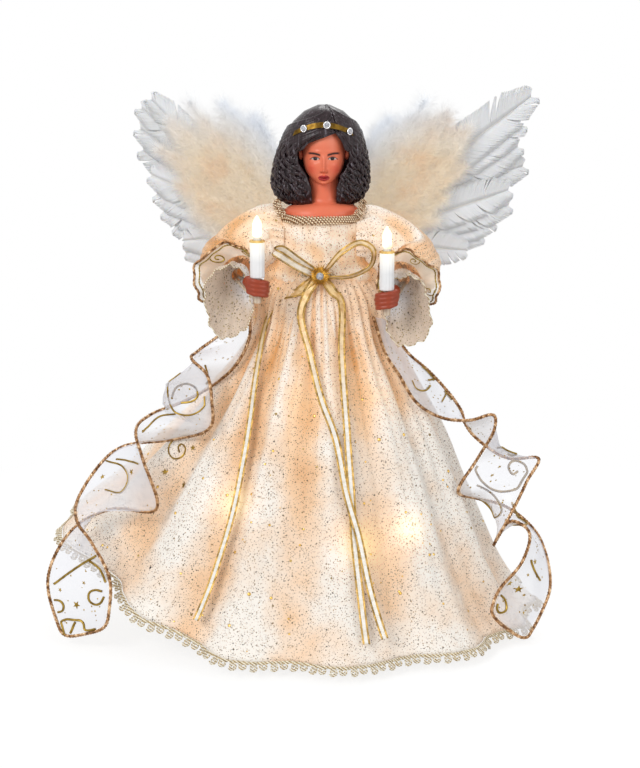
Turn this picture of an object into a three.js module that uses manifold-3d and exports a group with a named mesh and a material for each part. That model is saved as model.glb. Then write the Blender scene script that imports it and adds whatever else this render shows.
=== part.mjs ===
// A lit angel figurine, about 12 inches tall: a moulded cone that fits over a tree top or stands on a
// shelf carries a torso form, a moulded head, two hands with electric candles, feather wings and a
// gathered cloth gown, with a string of ten small lamps inside.
// Millimetres. +Z is up and -Y is the angel's front. Left and right are the viewer's, from the front.
// The origin is on the cone's axis, at the plane of its foot.
import * as THREE from "three";
import { mergeVertices } from "three/addons/utils/BufferGeometryUtils.js";
import Module from "manifold-3d";

const wasm = await Module();
wasm.setup();
const { lerp, smoothstep, degToRad, clamp } = THREE.MathUtils;
const fullTurn = 2 * Math.PI;
const quarterTurn = Math.PI / 2;

// Clearances that the pieces share.
const touchGap = 0.3; // between two pieces that touch
const cutOverrun = 4; // how far a cutter runs past what it cuts
const weldReach = 1e-3; // points this close are one corner

// Moulded cone.
const coneHeight = 192;
const coneFootRadius = 60;
const coneTopRadius = 15;
const coneWall = 1.6;
const coneTopThickness = 2;
const footFlange = 5;
const footThickness = 2;
const leadHoleRadius = 6;
const cordNotchWidth = 12;
const cordNotchHeight = 8;

// Lamps of the string: five low ones and three high ones stand out of the cone.
const lowLamps = { count: 5, firstAzimuth: degToRad(226), height: 60 };
const highLamps = { count: 3, firstAzimuth: degToRad(262), height: 122 };
const barrelRadius = 3.2;
const barrelProud = 1.2; // how far a lamp holder stands out of the cone
const barrelInside = 9; // how far it reaches inside the cone
const barrelFlangeRadius = 4.6;
const barrelFlangeThickness = 1.2;
const barrelFlangeGap = 0.8; // between the flange and the cone's curved inside
const socketBore = 2.5;
const socketDepth = 6.5;
const huskRadius = 2.25;
const huskProud = 1.4;
const bulbRadius = 2.7;
const bulbLength = 12;
const bulbTip = 3.4;
const wireRadius = 0.8;
const barrelHoleClearance = 0.4;

// Torso form and its arm holes.
const torsoHeight = 42;
const torsoWaistHalfWidth = 23.6;
const torsoWaistHalfDepth = 17.2;
const torsoChestHalfWidth = 22.6;
const torsoChestHalfDepth = 17.5;
const torsoWall = 1.6;
const neckSpigotRadius = 5;
const neckSpigotLength = 5;
const armHoleRadius = 4;
const armHoleDrop = 9; // below the torso form's top

// Bust: shoulder plate, neck and head.
const shoulderHalfWidth = 21.6;
const shoulderHalfDepth = 16.4;
const shoulderRise = 15;
const neckRadius = 8;
const headHeight = 39;
const headHalfWidth = 12.2;
const headHalfDepth = 14;
const headForward = 3.5;
const headSideways = 2.2;
const chinHeight = 260;
const noseLength = 3.2;
const earLength = 7.5;
const earThickness = 2.6;

// Hair and headband.
const hairTop = 305;
const hairBottom = 248;
const hairHalfWidth = 28;
const hairHalfDepth = 19.5;
const hairBack = 3.5; // how far the hair's middle lies behind the head's
const hairClearance = 0.35;
const hairWave = 0.9; // depth of the moulded waves
const hairWaves = 9;
const hairWaveTurns = 2.5;
const hairlineHeight = 290;
const headbandShare = 0.82; // of the way up the hair
const headbandWidth = 3;
const headbandThickness = 1;
const headbandSpread = degToRad(46);
const headbandSag = 5; // how far its ends hang below its middle
const gemRadius = 1.5;

// Arms, hands and candles.
const armWireRadius = 1.1;
const leadRadius = 0.9;
const shoulderOut = 34;
const elbowOut = 53;
const elbowForward = 13;
const elbowDrop = 13; // below the arm hole
const fistHalfWidth = 6.8;
const fistHalfDepth = 6;
const fistHalfHeight = 5.3;
const fingerCount = 4;
const fingerRelief = 0.45;
const wristRadius = 3.6;
const wristLength = 13;
const candleRadius = 4.25;
const candleWall = 0.7;
const candleSocketRadius = 3.25;
const candleBoreRadius = 2.5;
const candleTailRadius = 2.1;
const candleTailDrop = 3.4; // how far it shows under the hand
const ringRadius = 4.4;
const ringThickness = 1.2;
const ringBore = 2.95;
const arms = {
  left: { side: -1, handOut: 35, handForward: 48, handHeight: 206.5, candleLength: 20 },
  right: { side: 1, handOut: 37.4, handForward: 48, handHeight: 199.5, candleLength: 21 },
};

// Gown. A layer of cloth is drawn thicker than it is, so that it stays one solid.
const bodiceCloth = 1;
const bodiceGap = 0.5; // between the torso form and the bodice
const waistHeight = 206;
const necklineStand = 8; // above the torso form
const necklineRise = 5.5; // at the shoulders
const skirtCloth = 1.2;
const hemHalfWidth = 131;
const hemHalfDepth = 121;
const hemHeight = 9;
const foldCount = 13;
const foldDepth = 8;
const trainLift = 50; // the hem kicks up on the left
const trainReach = 15;
const trainAzimuth = degToRad(168);
const trainSpread = degToRad(88);
const trainHollowShare = 0.75; // how hollow the lifted side falls before it kicks up
const flareShare = 1.2; // how late the other sides spread
const liningCloth = 0.8;
const liningGap = 1.4;
const liningShort = 8; // how far the lining ends above the hem
const laceDrop = 7;
const laceScallop = 1.6;
const laceThickness = 1.2;
const scallopCount = 28;
const braidWidth = 6;
const braidThickness = 1.8;
const braidLoops = 20;
const braidLoopShare = 0.35; // how much thicker a braid is at its loops
const beltWidth = 4;
const beltThickness = 1.4;

// Sleeves, under-sleeves and cuffs.
const sleeveCloth = 1;
const sleevePuff = 18.5;
const puffRise = 4.5; // how far the puff stands above the arm
const cinchRadius = 11.5;
const sleevePleats = 9;
const pleatDepth = 1.8;
const underCloth = 0.8;
const underMouthHalfWidth = 15.5;
const underMouthHalfHeight = 21.5;
const underSag = 11;
const underOut = 7;
const cuffCloth = 0.8;
const cuffRadius = 19;
const cuffWaves = 5;
const cuffWaveDepth = 2.5;
const cuffReach = 2;
const cuffOut = 3;

// Ribbon, bow and brooch.
const ribbonWidth = 4.2;
const ribbonThickness = 0.8;
const ribbonLift = 1.2; // how far a tail lies off the skirt's ridges
const broochRadius = 7;
const broochThickness = 2.2;
const broochRays = 16;
const broochHeight = 210;
const broochGemRadius = 2.2;
const bowReach = 26;

// Sheer drapes with their corded edges.
const drapeCloth = 0.8;
const drapeCordRadius = 1.15;
const drapeCordGap = 0.5; // between the cord's centre and the cloth's edge, past its radius
const drapeStand = 20; // the drapes' stand-offs and bulges are shares of this

// Wings.
const wingRootOut = 9;
const wingRootHeight = 224;
const wingCardHalfWidth = 14;
const wingCardHeight = 22;
const wingCardThickness = 1.6;
const featherThickness = 0.9;
const quillThickness = 1.3;
const featherLayer = 1.6; // neighbouring feathers lie this much behind each other
const featherLayers = 4;
const bundleLength = 19; // the glued roots of a wing's feathers
const bundleWidth = 22;
const bundleRise = degToRad(15);
const leftWingSpan = 128;
const rightWingSpan = 147;
const featherWidth = 21;
const plumeWidth = 31;
const plumeThickness = 6;
const plumeRootOut = 19;
const plumeGap = 1.5; // between the down and the feathers behind it
const wingBend = 8; // how far the wings step back past the gown's back
const wingBendReach = 26;
const wingSweep = 0.1; // backward run per unit of reach

const point = (x, y, z) => new THREE.Vector3(x, y, z);

// How far the middle of t's range has been passed, 0 to 1 with soft ends.
const ease = (t) => smoothstep(t, 0, 1);

function geometryFrom(points, faces) {
  const geometry = new THREE.BufferGeometry().setFromPoints(points);
  let volume = 0;
  for (let i = 0; i < faces.length; i += 3) {
    const [a, b, c] = [points[faces[i]], points[faces[i + 1]], points[faces[i + 2]]];
    volume += a.dot(b.clone().cross(c));
  }
  geometry.setIndex(volume < 0 ? faces.reverse() : faces);
  return geometry;
}

// Joins rings of equal length into one closed body. "loop" joins the last ring to the first, "caps"
// closes each end to its middle, and "strip" closes the ends of thin sections, whose points run along
// the front and come back along the rear.
function bodyOf(rings, closing) {
  const sides = rings[0].length;
  const points = rings.flat();
  const faces = [];
  const quad = (a, b, c, d) => faces.push(a, b, c, a, c, d);
  const joined = closing === "loop" ? rings.length : rings.length - 1;
  for (let i = 0; i < joined; i++) {
    const here = i * sides;
    const next = ((i + 1) % rings.length) * sides;
    for (let j = 0; j < sides; j++) {
      const turn = (j + 1) % sides;
      quad(here + j, here + turn, next + turn, next + j);
    }
  }
  const ends = closing === "loop" ? [] : [0, rings.length - 1];
  for (const end of ends) {
    const start = end * sides;
    const first = end === 0;
    if (closing === "caps") {
      const middle = rings[end].reduce((sum, p) => sum.add(p), point(0, 0, 0)).divideScalar(sides);
      const centre = points.push(middle) - 1;
      for (let j = 0; j < sides; j++) {
        const [a, b] = [start + j, start + ((j + 1) % sides)];
        faces.push(centre, first ? b : a, first ? a : b);
      }
    } else {
      for (let j = 0; j < sides / 2 - 1; j++) {
        const [a, b, c, d] = [j, j + 1, sides - 2 - j, sides - 1 - j].map((k) => start + k);
        if (first) quad(b, a, d, c);
        else quad(a, b, c, d);
      }
    }
  }
  return geometryFrom(points, faces);
}

// One ring of points at even turns of the azimuth.
const ringOf = (count, at) => Array.from({ length: count }, (_, j) => at((j / count) * fullTurn, j));

// A thin closed shell round an axis: outer and inner are functions of (azimuth, t).
function shellOf(sides, drops, outer, inner) {
  const there = drops.map((t) => ringOf(sides, (a) => outer(a, t)));
  const back = drops.toReversed().map((t) => ringOf(sides, (a) => inner(a, t)));
  return bodyOf([...there, ...back], "loop");
}

// A turned piece: the profile is pairs of radius and height, from the axis or closed on itself.
function turned(profile, segments) {
  const outline = profile.map(([radius, height]) => new THREE.Vector2(radius, height));
  if (profile[0][0] > 0) outline.push(outline[0].clone());
  const lathe = new THREE.LatheGeometry(outline, segments).rotateX(quarterTurn);
  const bare = new THREE.BufferGeometry().setAttribute("position", lathe.getAttribute("position"));
  const merged = mergeVertices(bare.setIndex(lathe.index), weldReach);
  const at = merged.getAttribute("position");
  const cornerOf = (_, i) => new THREE.Vector3().fromBufferAttribute(at, i);
  const corners = Array.from({ length: at.count }, cornerOf);
  return geometryFrom(corners, trueFaces(merged.index.array));
}

// Drops the faces that a merge has closed to a line.
function trueFaces(index) {
  const kept = [];
  for (let i = 0; i < index.length; i += 3) {
    const [a, b, c] = index.slice(i, i + 3);
    if (a !== b && b !== c && c !== a) kept.push(a, b, c);
  }
  return kept;
}

function tube(points, radius, steps, sides) {
  const corner = (j) => {
    const a = (j / sides) * fullTurn;
    return new THREE.Vector2(Math.cos(a) * radius, Math.sin(a) * radius);
  };
  const section = new THREE.Shape(Array.from({ length: sides }, (_, j) => corner(j)));
  const extrudePath = new THREE.CatmullRomCurve3(points);
  return new THREE.ExtrudeGeometry(section, { steps, extrudePath });
}

// A cord through the given points, with one ring of its section at each.
function cord(points, radius, sides) {
  const direction = (i) => {
    const [before, after] = [points[Math.max(i - 1, 0)], points[Math.min(i + 1, points.length - 1)]];
    return after.clone().sub(before).normalize();
  };
  let side = point(0, 0, 1).cross(direction(0)).normalize();
  const rings = points.map((centre, i) => {
    const along = direction(i);
    side = side.clone().addScaledVector(along, -side.dot(along)).normalize();
    const other = along.clone().cross(side);
    return ringOf(sides, (a) => {
      const [out, up] = [Math.cos(a) * radius, Math.sin(a) * radius];
      return centre.clone().addScaledVector(side, out).addScaledVector(other, up);
    });
  });
  return bodyOf(rings, "caps");
}

function rod(radius, from, to, segments) {
  const length = from.distanceTo(to);
  const turn = new THREE.Quaternion().setFromUnitVectors(point(0, 1, 0), to.clone().sub(from).normalize());
  const middle = from.clone().lerp(to, 1 / 2);
  return new THREE.CylinderGeometry(radius, radius, length, segments)
    .applyQuaternion(turn)
    .translate(middle.x, middle.y, middle.z);
}

function solid(geometry) {
  const bare = new THREE.BufferGeometry().setAttribute("position", geometry.getAttribute("position"));
  bare.setIndex(geometry.index);
  const merged = mergeVertices(bare, weldReach);
  const vertProperties = merged.getAttribute("position").array;
  const triVerts = new Uint32Array(trueFaces(merged.index.array));
  return new wasm.Manifold(new wasm.Mesh({ numProp: 3, vertProperties, triVerts }));
}

function fromSolid(made) {
  const { vertProperties, triVerts, numProp } = made.getMesh();
  const geometry = new THREE.BufferGeometry();
  geometry.setAttribute("position", new THREE.BufferAttribute(new Float32Array(vertProperties), numProp));
  return geometry.setIndex(new THREE.BufferAttribute(new Uint32Array(triVerts), 1));
}

const joined = (geometries) => fromSolid(geometries.map(solid).reduce((sum, next) => sum.add(next)));
const cutFrom = (geometry, cutters) =>
  fromSolid(cutters.reduce((left, cutter) => left.subtract(solid(cutter)), solid(geometry)));

// The largest body that the cuts leave.
function largestLeft(geometry, cutters) {
  const left = cutters.reduce((rest, cutter) => rest.subtract(solid(cutter)), solid(geometry));
  const bodies = left.decompose().sort((a, b) => b.volume() - a.volume());
  return fromSolid(bodies[0]);
}

// Materials.
const finish = (color, roughness, metalness = 0) =>
  new THREE.MeshStandardMaterial({ color, roughness, metalness });
const skinPaint = finish(0xb4553c, 0.5);
const hairPaint = finish(0x1c1a20, 0.35);
const goldMetal = finish(0xb98a3a, 0.3, 0.9);
const clearGem = finish(0xdfe4ea, 0.1);
const whitePlastic = finish(0xf2f1ee, 0.5);
const formPlastic = finish(0xe6e1d6, 0.6);
const wirePlastic = finish(0xd8d4c8, 0.5);
const lampGlass = finish(0xfff2c8, 0.1);
const satin = finish(0xf3dfc4, 0.45);
const liningCotton = finish(0xf4ead8, 0.8);
const sheerOrganza = finish(0xf2ece4, 0.6);
const goldCord = finish(0xb98d63, 0.45, 0.4);
const silverLace = finish(0xb9a98a, 0.5, 0.3);
const goldRibbon = finish(0xe2bf86, 0.35, 0.3);
const feather = finish(0xefe9dd, 0.8);

const angel = new THREE.Group();
function add(name, geometry, material, parent = angel) {
  const mesh = new THREE.Mesh(geometry, material);
  mesh.name = name;
  parent.add(mesh);
  return mesh;
}

// Base cone. The thin wall is open below, where the tree's tip goes in.
const coneRadiusAt = (z) =>
  lerp(coneFootRadius, coneTopRadius, (z - footThickness) / (coneHeight - footThickness));

const lamps = [lowLamps, highLamps].flatMap(({ count, firstAzimuth, height }) =>
  Array.from({ length: count }, (_, i) => ({
    azimuth: (firstAzimuth + (i / count) * fullTurn) % fullTurn,
    height,
  })),
);
lamps.sort((a, b) => a.azimuth - b.azimuth);

const outFrom = (azimuth, radius, z) => point(Math.cos(azimuth) * radius, Math.sin(azimuth) * radius, z);

function baseCone() {
  const body = turned(
    [
      [leadHoleRadius, coneHeight],
      [coneTopRadius, coneHeight],
      [coneFootRadius, footThickness],
      [coneFootRadius + footFlange, footThickness],
      [coneFootRadius + footFlange, 0],
      [coneFootRadius - coneWall, 0],
      [coneTopRadius - coneWall, coneHeight - coneTopThickness],
      [leadHoleRadius, coneHeight - coneTopThickness],
    ],
    26,
  );
  const lampHoles = lamps.map(({ azimuth, height }) => {
    const radius = coneRadiusAt(height);
    const inside = outFrom(azimuth, radius - cutOverrun * 2, height);
    const outside = outFrom(azimuth, radius + cutOverrun * 2, height);
    return rod(barrelRadius + barrelHoleClearance, inside, outside, 8);
  });
  const notchDepth = (footFlange + coneWall + cutOverrun) * 2;
  const notch = new THREE.BoxGeometry(cordNotchWidth, notchDepth, cordNotchHeight * 2);
  notch.translate(0, coneFootRadius + footFlange, 0);
  return cutFrom(body, [...lampHoles, notch]);
}
add("base_cone", baseCone(), formPlastic);

// Torso form: an oval shell that sits on the cone's top, with a hole for the neck and one for each arm.
const torsoTop = coneHeight + torsoHeight;
const armHoleHeight = torsoTop - armHoleDrop;

function torsoOval(t) {
  const chest = ease(t);
  return {
    halfWidth: lerp(torsoWaistHalfWidth, torsoChestHalfWidth, chest),
    halfDepth: lerp(torsoWaistHalfDepth, torsoChestHalfDepth, chest),
    height: lerp(coneHeight, torsoTop, t),
  };
}

const ovalPoint = (a, { halfWidth, halfDepth, height }, grow = 0) =>
  point(Math.cos(a) * (halfWidth + grow), Math.sin(a) * (halfDepth + grow), height);

function torsoForm() {
  const sides = 16;
  const heights = [0, 1 / 2, 1];
  const bottomHole = ringOf(sides, (a) => outFrom(a, leadHoleRadius, coneHeight));
  const outside = heights.map((t) => ringOf(sides, (a) => ovalPoint(a, torsoOval(t))));
  const spigotBore = neckSpigotRadius + touchGap;
  const topHole = ringOf(sides, (a) => outFrom(a, spigotBore, torsoTop));
  const topUnder = ringOf(sides, (a) => outFrom(a, spigotBore, torsoTop - torsoWall));
  const within = (t) => {
    const oval = torsoOval(t);
    return { ...oval, height: clamp(oval.height, coneHeight + torsoWall, torsoTop - torsoWall) };
  };
  const inside = heights.toReversed().map((t) => ringOf(sides, (a) => ovalPoint(a, within(t), -torsoWall)));
  const floorHole = ringOf(sides, (a) => outFrom(a, leadHoleRadius, coneHeight + torsoWall));
  const shell = bodyOf([bottomHole, ...outside, topHole, topUnder, ...inside, floorHole], "loop");
  const reach = torsoChestHalfWidth + cutOverrun;
  const armHole = rod(armHoleRadius, point(-reach, 0, armHoleHeight), point(reach, 0, armHoleHeight), 12);
  return cutFrom(shell, [armHole]);
}
add("torso_form", torsoForm(), formPlastic);

// Bust. The shoulder plate rests on the torso form with a spigot in its neck hole. The head is lofted
// through oval sections, and the brow, nose, lips, chin and eye hollows are raised or sunk from them.
const headSectionShares = [
  // [height, half width, depth in front, depth behind] from chin to crown
  [0.0, 0.1, 0.5, 0.1],
  [0.03, 0.34, 0.74, 0.24],
  [0.1, 0.56, 0.86, 0.42],
  [0.2, 0.78, 0.9, 0.62],
  [0.32, 0.93, 0.91, 0.8],
  [0.45, 1.0, 0.9, 0.93],
  [0.6, 1.0, 0.9, 1.0],
  [0.74, 0.94, 0.84, 1.0],
  [0.86, 0.78, 0.68, 0.86],
  [0.95, 0.5, 0.42, 0.56],
  [0.99, 0.22, 0.18, 0.24],
];

// [across, up, spread across, spread up, how far it stands out] as shares of the head's half width,
// the head's height, and the nose's length.
const faceFeatureShares = [
  [0, 0.27, 0.1, 0.035, 0.95], // tip of the nose
  [0, 0.36, 0.08, 0.075, 0.55], // bridge
  [0.13, 0.255, 0.07, 0.02, 0.3], // nostril wings
  [-0.13, 0.255, 0.07, 0.02, 0.3],
  [0, 0.165, 0.2, 0.016, 0.34], // upper lip
  [0, 0.132, 0.16, 0.016, 0.36], // lower lip
  [0, 0.05, 0.26, 0.04, 0.3], // chin
  [0.38, 0.4, 0.17, 0.035, -0.34], // eye hollows
  [-0.38, 0.4, 0.17, 0.035, -0.34],
  [0.36, 0.5, 0.26, 0.022, 0.16], // brows
  [-0.36, 0.5, 0.26, 0.022, 0.16],
  [0.56, 0.29, 0.24, 0.06, 0.2], // cheeks
  [-0.56, 0.29, 0.24, 0.06, 0.2],
];

const headCentre = (z) => point(headSideways, -headForward, z);

function facePush(across, up) {
  const bump = ([x, z, spreadX, spreadZ, height]) =>
    height * Math.exp(-(((across - x) / spreadX) ** 2) - ((up - z) / spreadZ) ** 2);
  return noseLength * faceFeatureShares.reduce((sum, share) => sum + bump(share), 0);
}

function headPoint(a, t, grow = 0) {
  const last = headSectionShares.length - 1;
  const i = Math.min(Math.floor(t * last), last - 1);
  const mix = t * last - i;
  const between = (v, k) => lerp(v, headSectionShares[i + 1][k], mix);
  const [up, wide, front, behind] = headSectionShares[i].map(between);
  const across = Math.cos(a) * wide;
  const ahead = Math.sin(a);
  const depth = ahead < 0 ? front : behind;
  const push = ahead < 0 ? facePush(across, up) * Math.min(1, -ahead * 3) : 0;
  return headCentre(chinHeight + up * headHeight).add(
    point(across * headHalfWidth + Math.cos(a) * grow, ahead * (depth * headHalfDepth + grow) - push, 0),
  );
}

function headBody(sides, rows, grow = 0) {
  const row = (_, i) => ringOf(sides, (a) => headPoint(a, i / rows, grow));
  return bodyOf(Array.from({ length: rows + 1 }, row), "caps");
}

// The shoulder plate and neck, as [height, half width, half depth] shares.
const shoulderShares = [
  [0, 1, 1],
  [0.35, 1, 0.97],
  [0.62, 0.98, 0.9],
  [0.8, 0.93, 0.81],
  [0.92, 0.78, 0.72],
  [1, 0.46, 0.63],
];

function neckBody(grow = 0) {
  const sides = 14;
  const spigotBottom = torsoTop - neckSpigotLength;
  const neckTop = chinHeight + headHeight / 4;
  const rings = [
    ringOf(sides, (a) => outFrom(a, neckSpigotRadius, spigotBottom)),
    ringOf(sides, (a) => outFrom(a, neckSpigotRadius, torsoTop)),
  ];
  for (const [up, wide, deep] of shoulderShares) {
    const oval = { halfWidth: wide * shoulderHalfWidth, halfDepth: deep * shoulderHalfDepth };
    const height = torsoTop + up * shoulderRise;
    const lean = up ** 3;
    rings.push(
      ringOf(sides, (a) =>
        ovalPoint(a, { ...oval, height }, grow).add(point(lean * headSideways, (-lean * headForward) / 4, 0)),
      ),
    );
  }
  const neckCentre = point(headSideways, -headForward / 4, 0);
  for (const z of [lerp(torsoTop + shoulderRise, neckTop, 1 / 2), neckTop])
    rings.push(ringOf(sides, (a) => outFrom(a, neckRadius + grow, z).add(neckCentre)));
  return bodyOf(rings, "caps");
}

const earCentre = (side) => {
  const out = side * (headHalfWidth + earThickness / 4);
  return headCentre(chinHeight + headHeight * 0.44).add(point(out, headHalfDepth / 8, 0));
};

function bust() {
  const ears = [-1, 1].map((side) => {
    const { x, y, z } = earCentre(side);
    return new THREE.SphereGeometry(1, 8, 6)
      .scale(earThickness / 2, earLength / 3, earLength / 2)
      .translate(x, y, z);
  });
  return joined([neckBody(), headBody(20, 18), ...ears]);
}
add("head_bust", bust(), skinPaint);

// Moulded hair: a full bell of hair cut away over the face and round the head, ears and neck.
const hairSectionShares = [
  // [height, half width, half depth] from bottom to crown
  [0, 0.74, 0.62],
  [0.05, 0.88, 0.78],
  [0.2, 1, 0.92],
  [0.4, 0.96, 0.97],
  [0.58, 0.88, 1],
  [0.72, 0.79, 0.97],
  [0.84, 0.64, 0.84],
  [0.94, 0.42, 0.58],
  [1, 0.14, 0.2],
];

// The edge of the hair round the face, as shares of the head's half width and of the height between
// the hair's bottom and the hairline.
const hairlineShares = [
  [-0.56, -0.1],
  [-0.62, 0.25],
  [-0.86, 0.42],
  [-1.24, 0.58],
  [-1.28, 0.73],
  [-0.98, 0.78],
  [-0.75, 0.86],
  [-0.2, 0.92],
  [0.55, 1],
  [0.86, 0.88],
  [1.02, 0.76],
  [1.26, 0.73],
  [1.22, 0.58],
  [0.88, 0.42],
  [0.62, 0.25],
  [0.6, -0.1],
];

function hair() {
  const sides = 3 * hairWaves;
  const centreOf = (up) => point(headSideways * ease(up), hairBack - headForward * ease(up), 0);
  const rings = hairSectionShares.map(([up, wide, deep]) =>
    ringOf(sides, (a) => {
      const oval = { halfWidth: wide * hairHalfWidth, halfDepth: deep * hairHalfDepth };
      const wave = hairWave * Math.cos(hairWaves * a + hairWaveTurns * fullTurn * up) * (1 - up);
      return ovalPoint(a, { ...oval, height: lerp(hairBottom, hairTop, up) }, wave).add(centreOf(up));
    }),
  );
  const window = new THREE.Shape(
    hairlineShares.map(
      ([x, z]) =>
        new THREE.Vector2(headSideways + x * headHalfWidth, lerp(hairBottom, hairlineHeight, z)),
    ),
  );
  const depth = hairHalfDepth + cutOverrun;
  const face = new THREE.ExtrudeGeometry(window, { depth, bevelEnabled: false })
    .rotateX(quarterTurn)
    .translate(0, -headForward, 0);
  const earPockets = [-1, 1].map((side) => {
    const { x, y, z } = earCentre(side);
    return new THREE.SphereGeometry(1, 8, 6)
      .scale(earThickness / 2 + hairClearance, earLength / 3 + hairClearance, earLength / 2 + hairClearance)
      .translate(x, y, z);
  });
  const cutters = [face, headBody(12, 8, hairClearance * 4), neckBody(hairClearance), ...earPockets];
  return largestLeft(bodyOf(rings, "caps"), cutters);
}
add("hair", hair(), hairPaint);

// Headband: a flat arc in front of the hair with three stones set on it.
const headbandHeight = lerp(hairBottom, hairTop, headbandShare);

function hairOval(z) {
  const up = (z - hairBottom) / (hairTop - hairBottom);
  const above = hairSectionShares.findIndex(([height]) => height >= up);
  const [low, high] = [hairSectionShares[above - 1], hairSectionShares[above]];
  const mix = (up - low[0]) / (high[0] - low[0]);
  return {
    halfWidth: lerp(low[1], high[1], mix) * hairHalfWidth,
    halfDepth: lerp(low[2], high[2], mix) * hairHalfDepth,
    centre: point(headSideways * ease(up), hairBack - headForward * ease(up), 0),
  };
}

function headbandPoint(across, off, z) {
  const { halfWidth, halfDepth, centre } = hairOval(z);
  const a = -quarterTurn + across;
  return point(Math.cos(a) * (halfWidth + off), Math.sin(a) * (halfDepth + off), z).add(centre);
}

const bandDip = (across) => (across / headbandSpread) ** 2 * headbandSag;

function headband() {
  const steps = 14;
  const sections = Array.from({ length: steps + 1 }, (_, i) => {
    const across = lerp(-headbandSpread, headbandSpread, i / steps);
    const top = headbandHeight + headbandWidth / 2 - bandDip(across);
    const bottom = top - headbandWidth;
    const clear = touchGap + hairWave / 2;
    return [
      headbandPoint(across, clear + headbandThickness, top),
      headbandPoint(across, clear + headbandThickness, bottom),
      headbandPoint(across, clear, bottom),
      headbandPoint(across, clear, top),
    ];
  });
  return bodyOf(sections, "strip");
}
add("headband", headband(), goldMetal);

const stone = (radius) =>
  turned(
    [
      [0, 0],
      [radius, 0],
      [radius, radius * 0.25],
      [radius * 0.6, radius * 0.6],
      [0, radius * 0.7],
    ],
    8,
  );

for (const [name, share] of [["left", -0.66], ["centre", 0.11], ["right", 0.88]]) {
  const across = share * headbandSpread;
  const height = headbandHeight - bandDip(across);
  const off = 3 * touchGap + headbandThickness + hairWave / 2;
  const spot = headbandPoint(across, off, height);
  const gem = add(`headband_gem_${name}`, stone(gemRadius), clearGem);
  gem.position.copy(spot);
  gem.rotation.set(quarterTurn, 0, across, "ZYX");
}

// Arms. One wire runs from hand to hand through the torso form's arm holes.
const handPoint = ({ side, handOut, handForward, handHeight }) =>
  point(side * handOut, -handForward, handHeight);
const shoulderPoint = ({ side }) => point(side * shoulderOut, 0, armHoleHeight);
const elbowPoint = ({ side }) => point(side * elbowOut, -elbowForward, armHoleHeight - elbowDrop);

// The forearm's direction, from the elbow to the hand.
const forearm = (arm) => handPoint(arm).sub(elbowPoint(arm)).normalize();
const wristEnd = (arm) => handPoint(arm).addScaledVector(forearm(arm), -wristLength);
const elbowBend = (arm) => elbowPoint(arm).lerp(wristEnd(arm), 1 / 3);

function armPath(arm, below) {
  const down = (p) => p.add(point(0, 0, -below));
  return [
    down(point(arm.side * torsoWaistHalfWidth * 0.9, 0, armHoleHeight)),
    down(shoulderPoint(arm)),
    down(shoulderPoint(arm).lerp(elbowPoint(arm), 0.6).add(point(0, 0, 2 * armWireRadius))),
    down(elbowBend(arm)),
  ];
}

function armWire() {
  const reach = (arm) => [...armPath(arm, 0), wristEnd(arm).addScaledVector(forearm(arm), -touchGap)];
  const points = [...reach(arms.left).toReversed(), ...reach(arms.right)];
  return tube(points, armWireRadius, 34, 5);
}
add("arm_wire", armWire(), goldMetal);

// A fist that grips its candle: four fingers ripple its front, and the wrist runs back into the sleeve.
function hand(arm) {
  const sides = 12;
  const rows = 11;
  const centre = handPoint(arm);
  const rings = Array.from({ length: rows }, (_, i) => {
    const up = lerp(-1, 1, i / (rows - 1));
    const round = (1 - Math.abs(up) ** 3.2 * 0.55) ** 1.2;
    const ripple = Math.cos(up * fingerCount * Math.PI) * fingerRelief;
    return ringOf(sides, (a) => {
      const grip = ripple * clamp(-Math.sin(a) * 2, 0, 1);
      const [across, deep] = [fistHalfWidth * round + grip, fistHalfDepth * round + grip];
      return point(Math.cos(a) * across, Math.sin(a) * deep, up * fistHalfHeight).add(centre);
    });
  });
  const wrist = rod(wristRadius, centre, wristEnd(arm), 10);
  const above = centre.clone().add(point(0, 0, fistHalfHeight + cutOverrun));
  const below = centre.clone().add(point(0, 0, -fistHalfHeight - cutOverrun));
  const fist = joined([bodyOf(rings, "caps"), wrist]);
  return cutFrom(fist, [rod(candleTailRadius + touchGap, below, above, 10)]);
}

// Candle: a white plastic sleeve over the lamp socket, with a gilt ring on its rim.
const candleFoot = ({ handHeight }) => handHeight + fistHalfHeight + touchGap;
const candleRim = (arm) => candleFoot(arm) + arm.candleLength;
const socketFloor = (arm) => candleRim(arm) - socketDepth - 1.2 * candleWall;

function candleSleeve({ candleLength }) {
  return turned(
    [
      [candleRadius - candleWall, 0],
      [candleRadius, 0],
      [candleRadius, candleLength],
      [candleRadius - candleWall, candleLength],
    ],
    14,
  );
}

const candleRing = () =>
  turned(
    [
      [ringBore, 0],
      [ringRadius, 0],
      [ringRadius, ringThickness * 0.6],
      [ringRadius - ringThickness * 0.4, ringThickness],
      [ringBore, ringThickness],
    ],
    12,
  );

const bulbHusk = (length) =>
  turned(
    [
      [0, 0],
      [huskRadius, 0],
      [huskRadius, length],
      [0, length],
    ],
    12,
  );

const bulbGlassOutline = (foot) => [
  [bulbRadius, foot],
  [bulbRadius, foot + (bulbLength - bulbTip) * 0.8],
  [bulbRadius * 0.6, foot + bulbLength - bulbTip],
  [0, foot + bulbLength],
];

for (const [name, arm] of Object.entries(arms)) {
  add(`${name}_hand`, hand(arm), skinPaint);
  const candle = new THREE.Group();
  candle.position.copy(handPoint(arm)).setZ(candleFoot(arm));
  angel.add(candle);
  add(`${name}_candle_sleeve`, candleSleeve(arm), whitePlastic, candle);
  add(`${name}_candle_ring`, candleRing(), goldMetal, candle).position.z = arm.candleLength;
  const floor = socketFloor(arm) - candleFoot(arm);
  const huskLength = socketDepth + 1.2 * candleWall + ringThickness + huskProud - touchGap;
  add(`${name}_bulb_husk`, bulbHusk(huskLength), whitePlastic, candle).position.z = floor + touchGap;
  const glass = turned([[0, 0], ...bulbGlassOutline(0)], 12);
  add(`${name}_bulb_glass`, glass, lampGlass, candle).position.z = floor + huskLength + 2 * touchGap;
}

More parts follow.
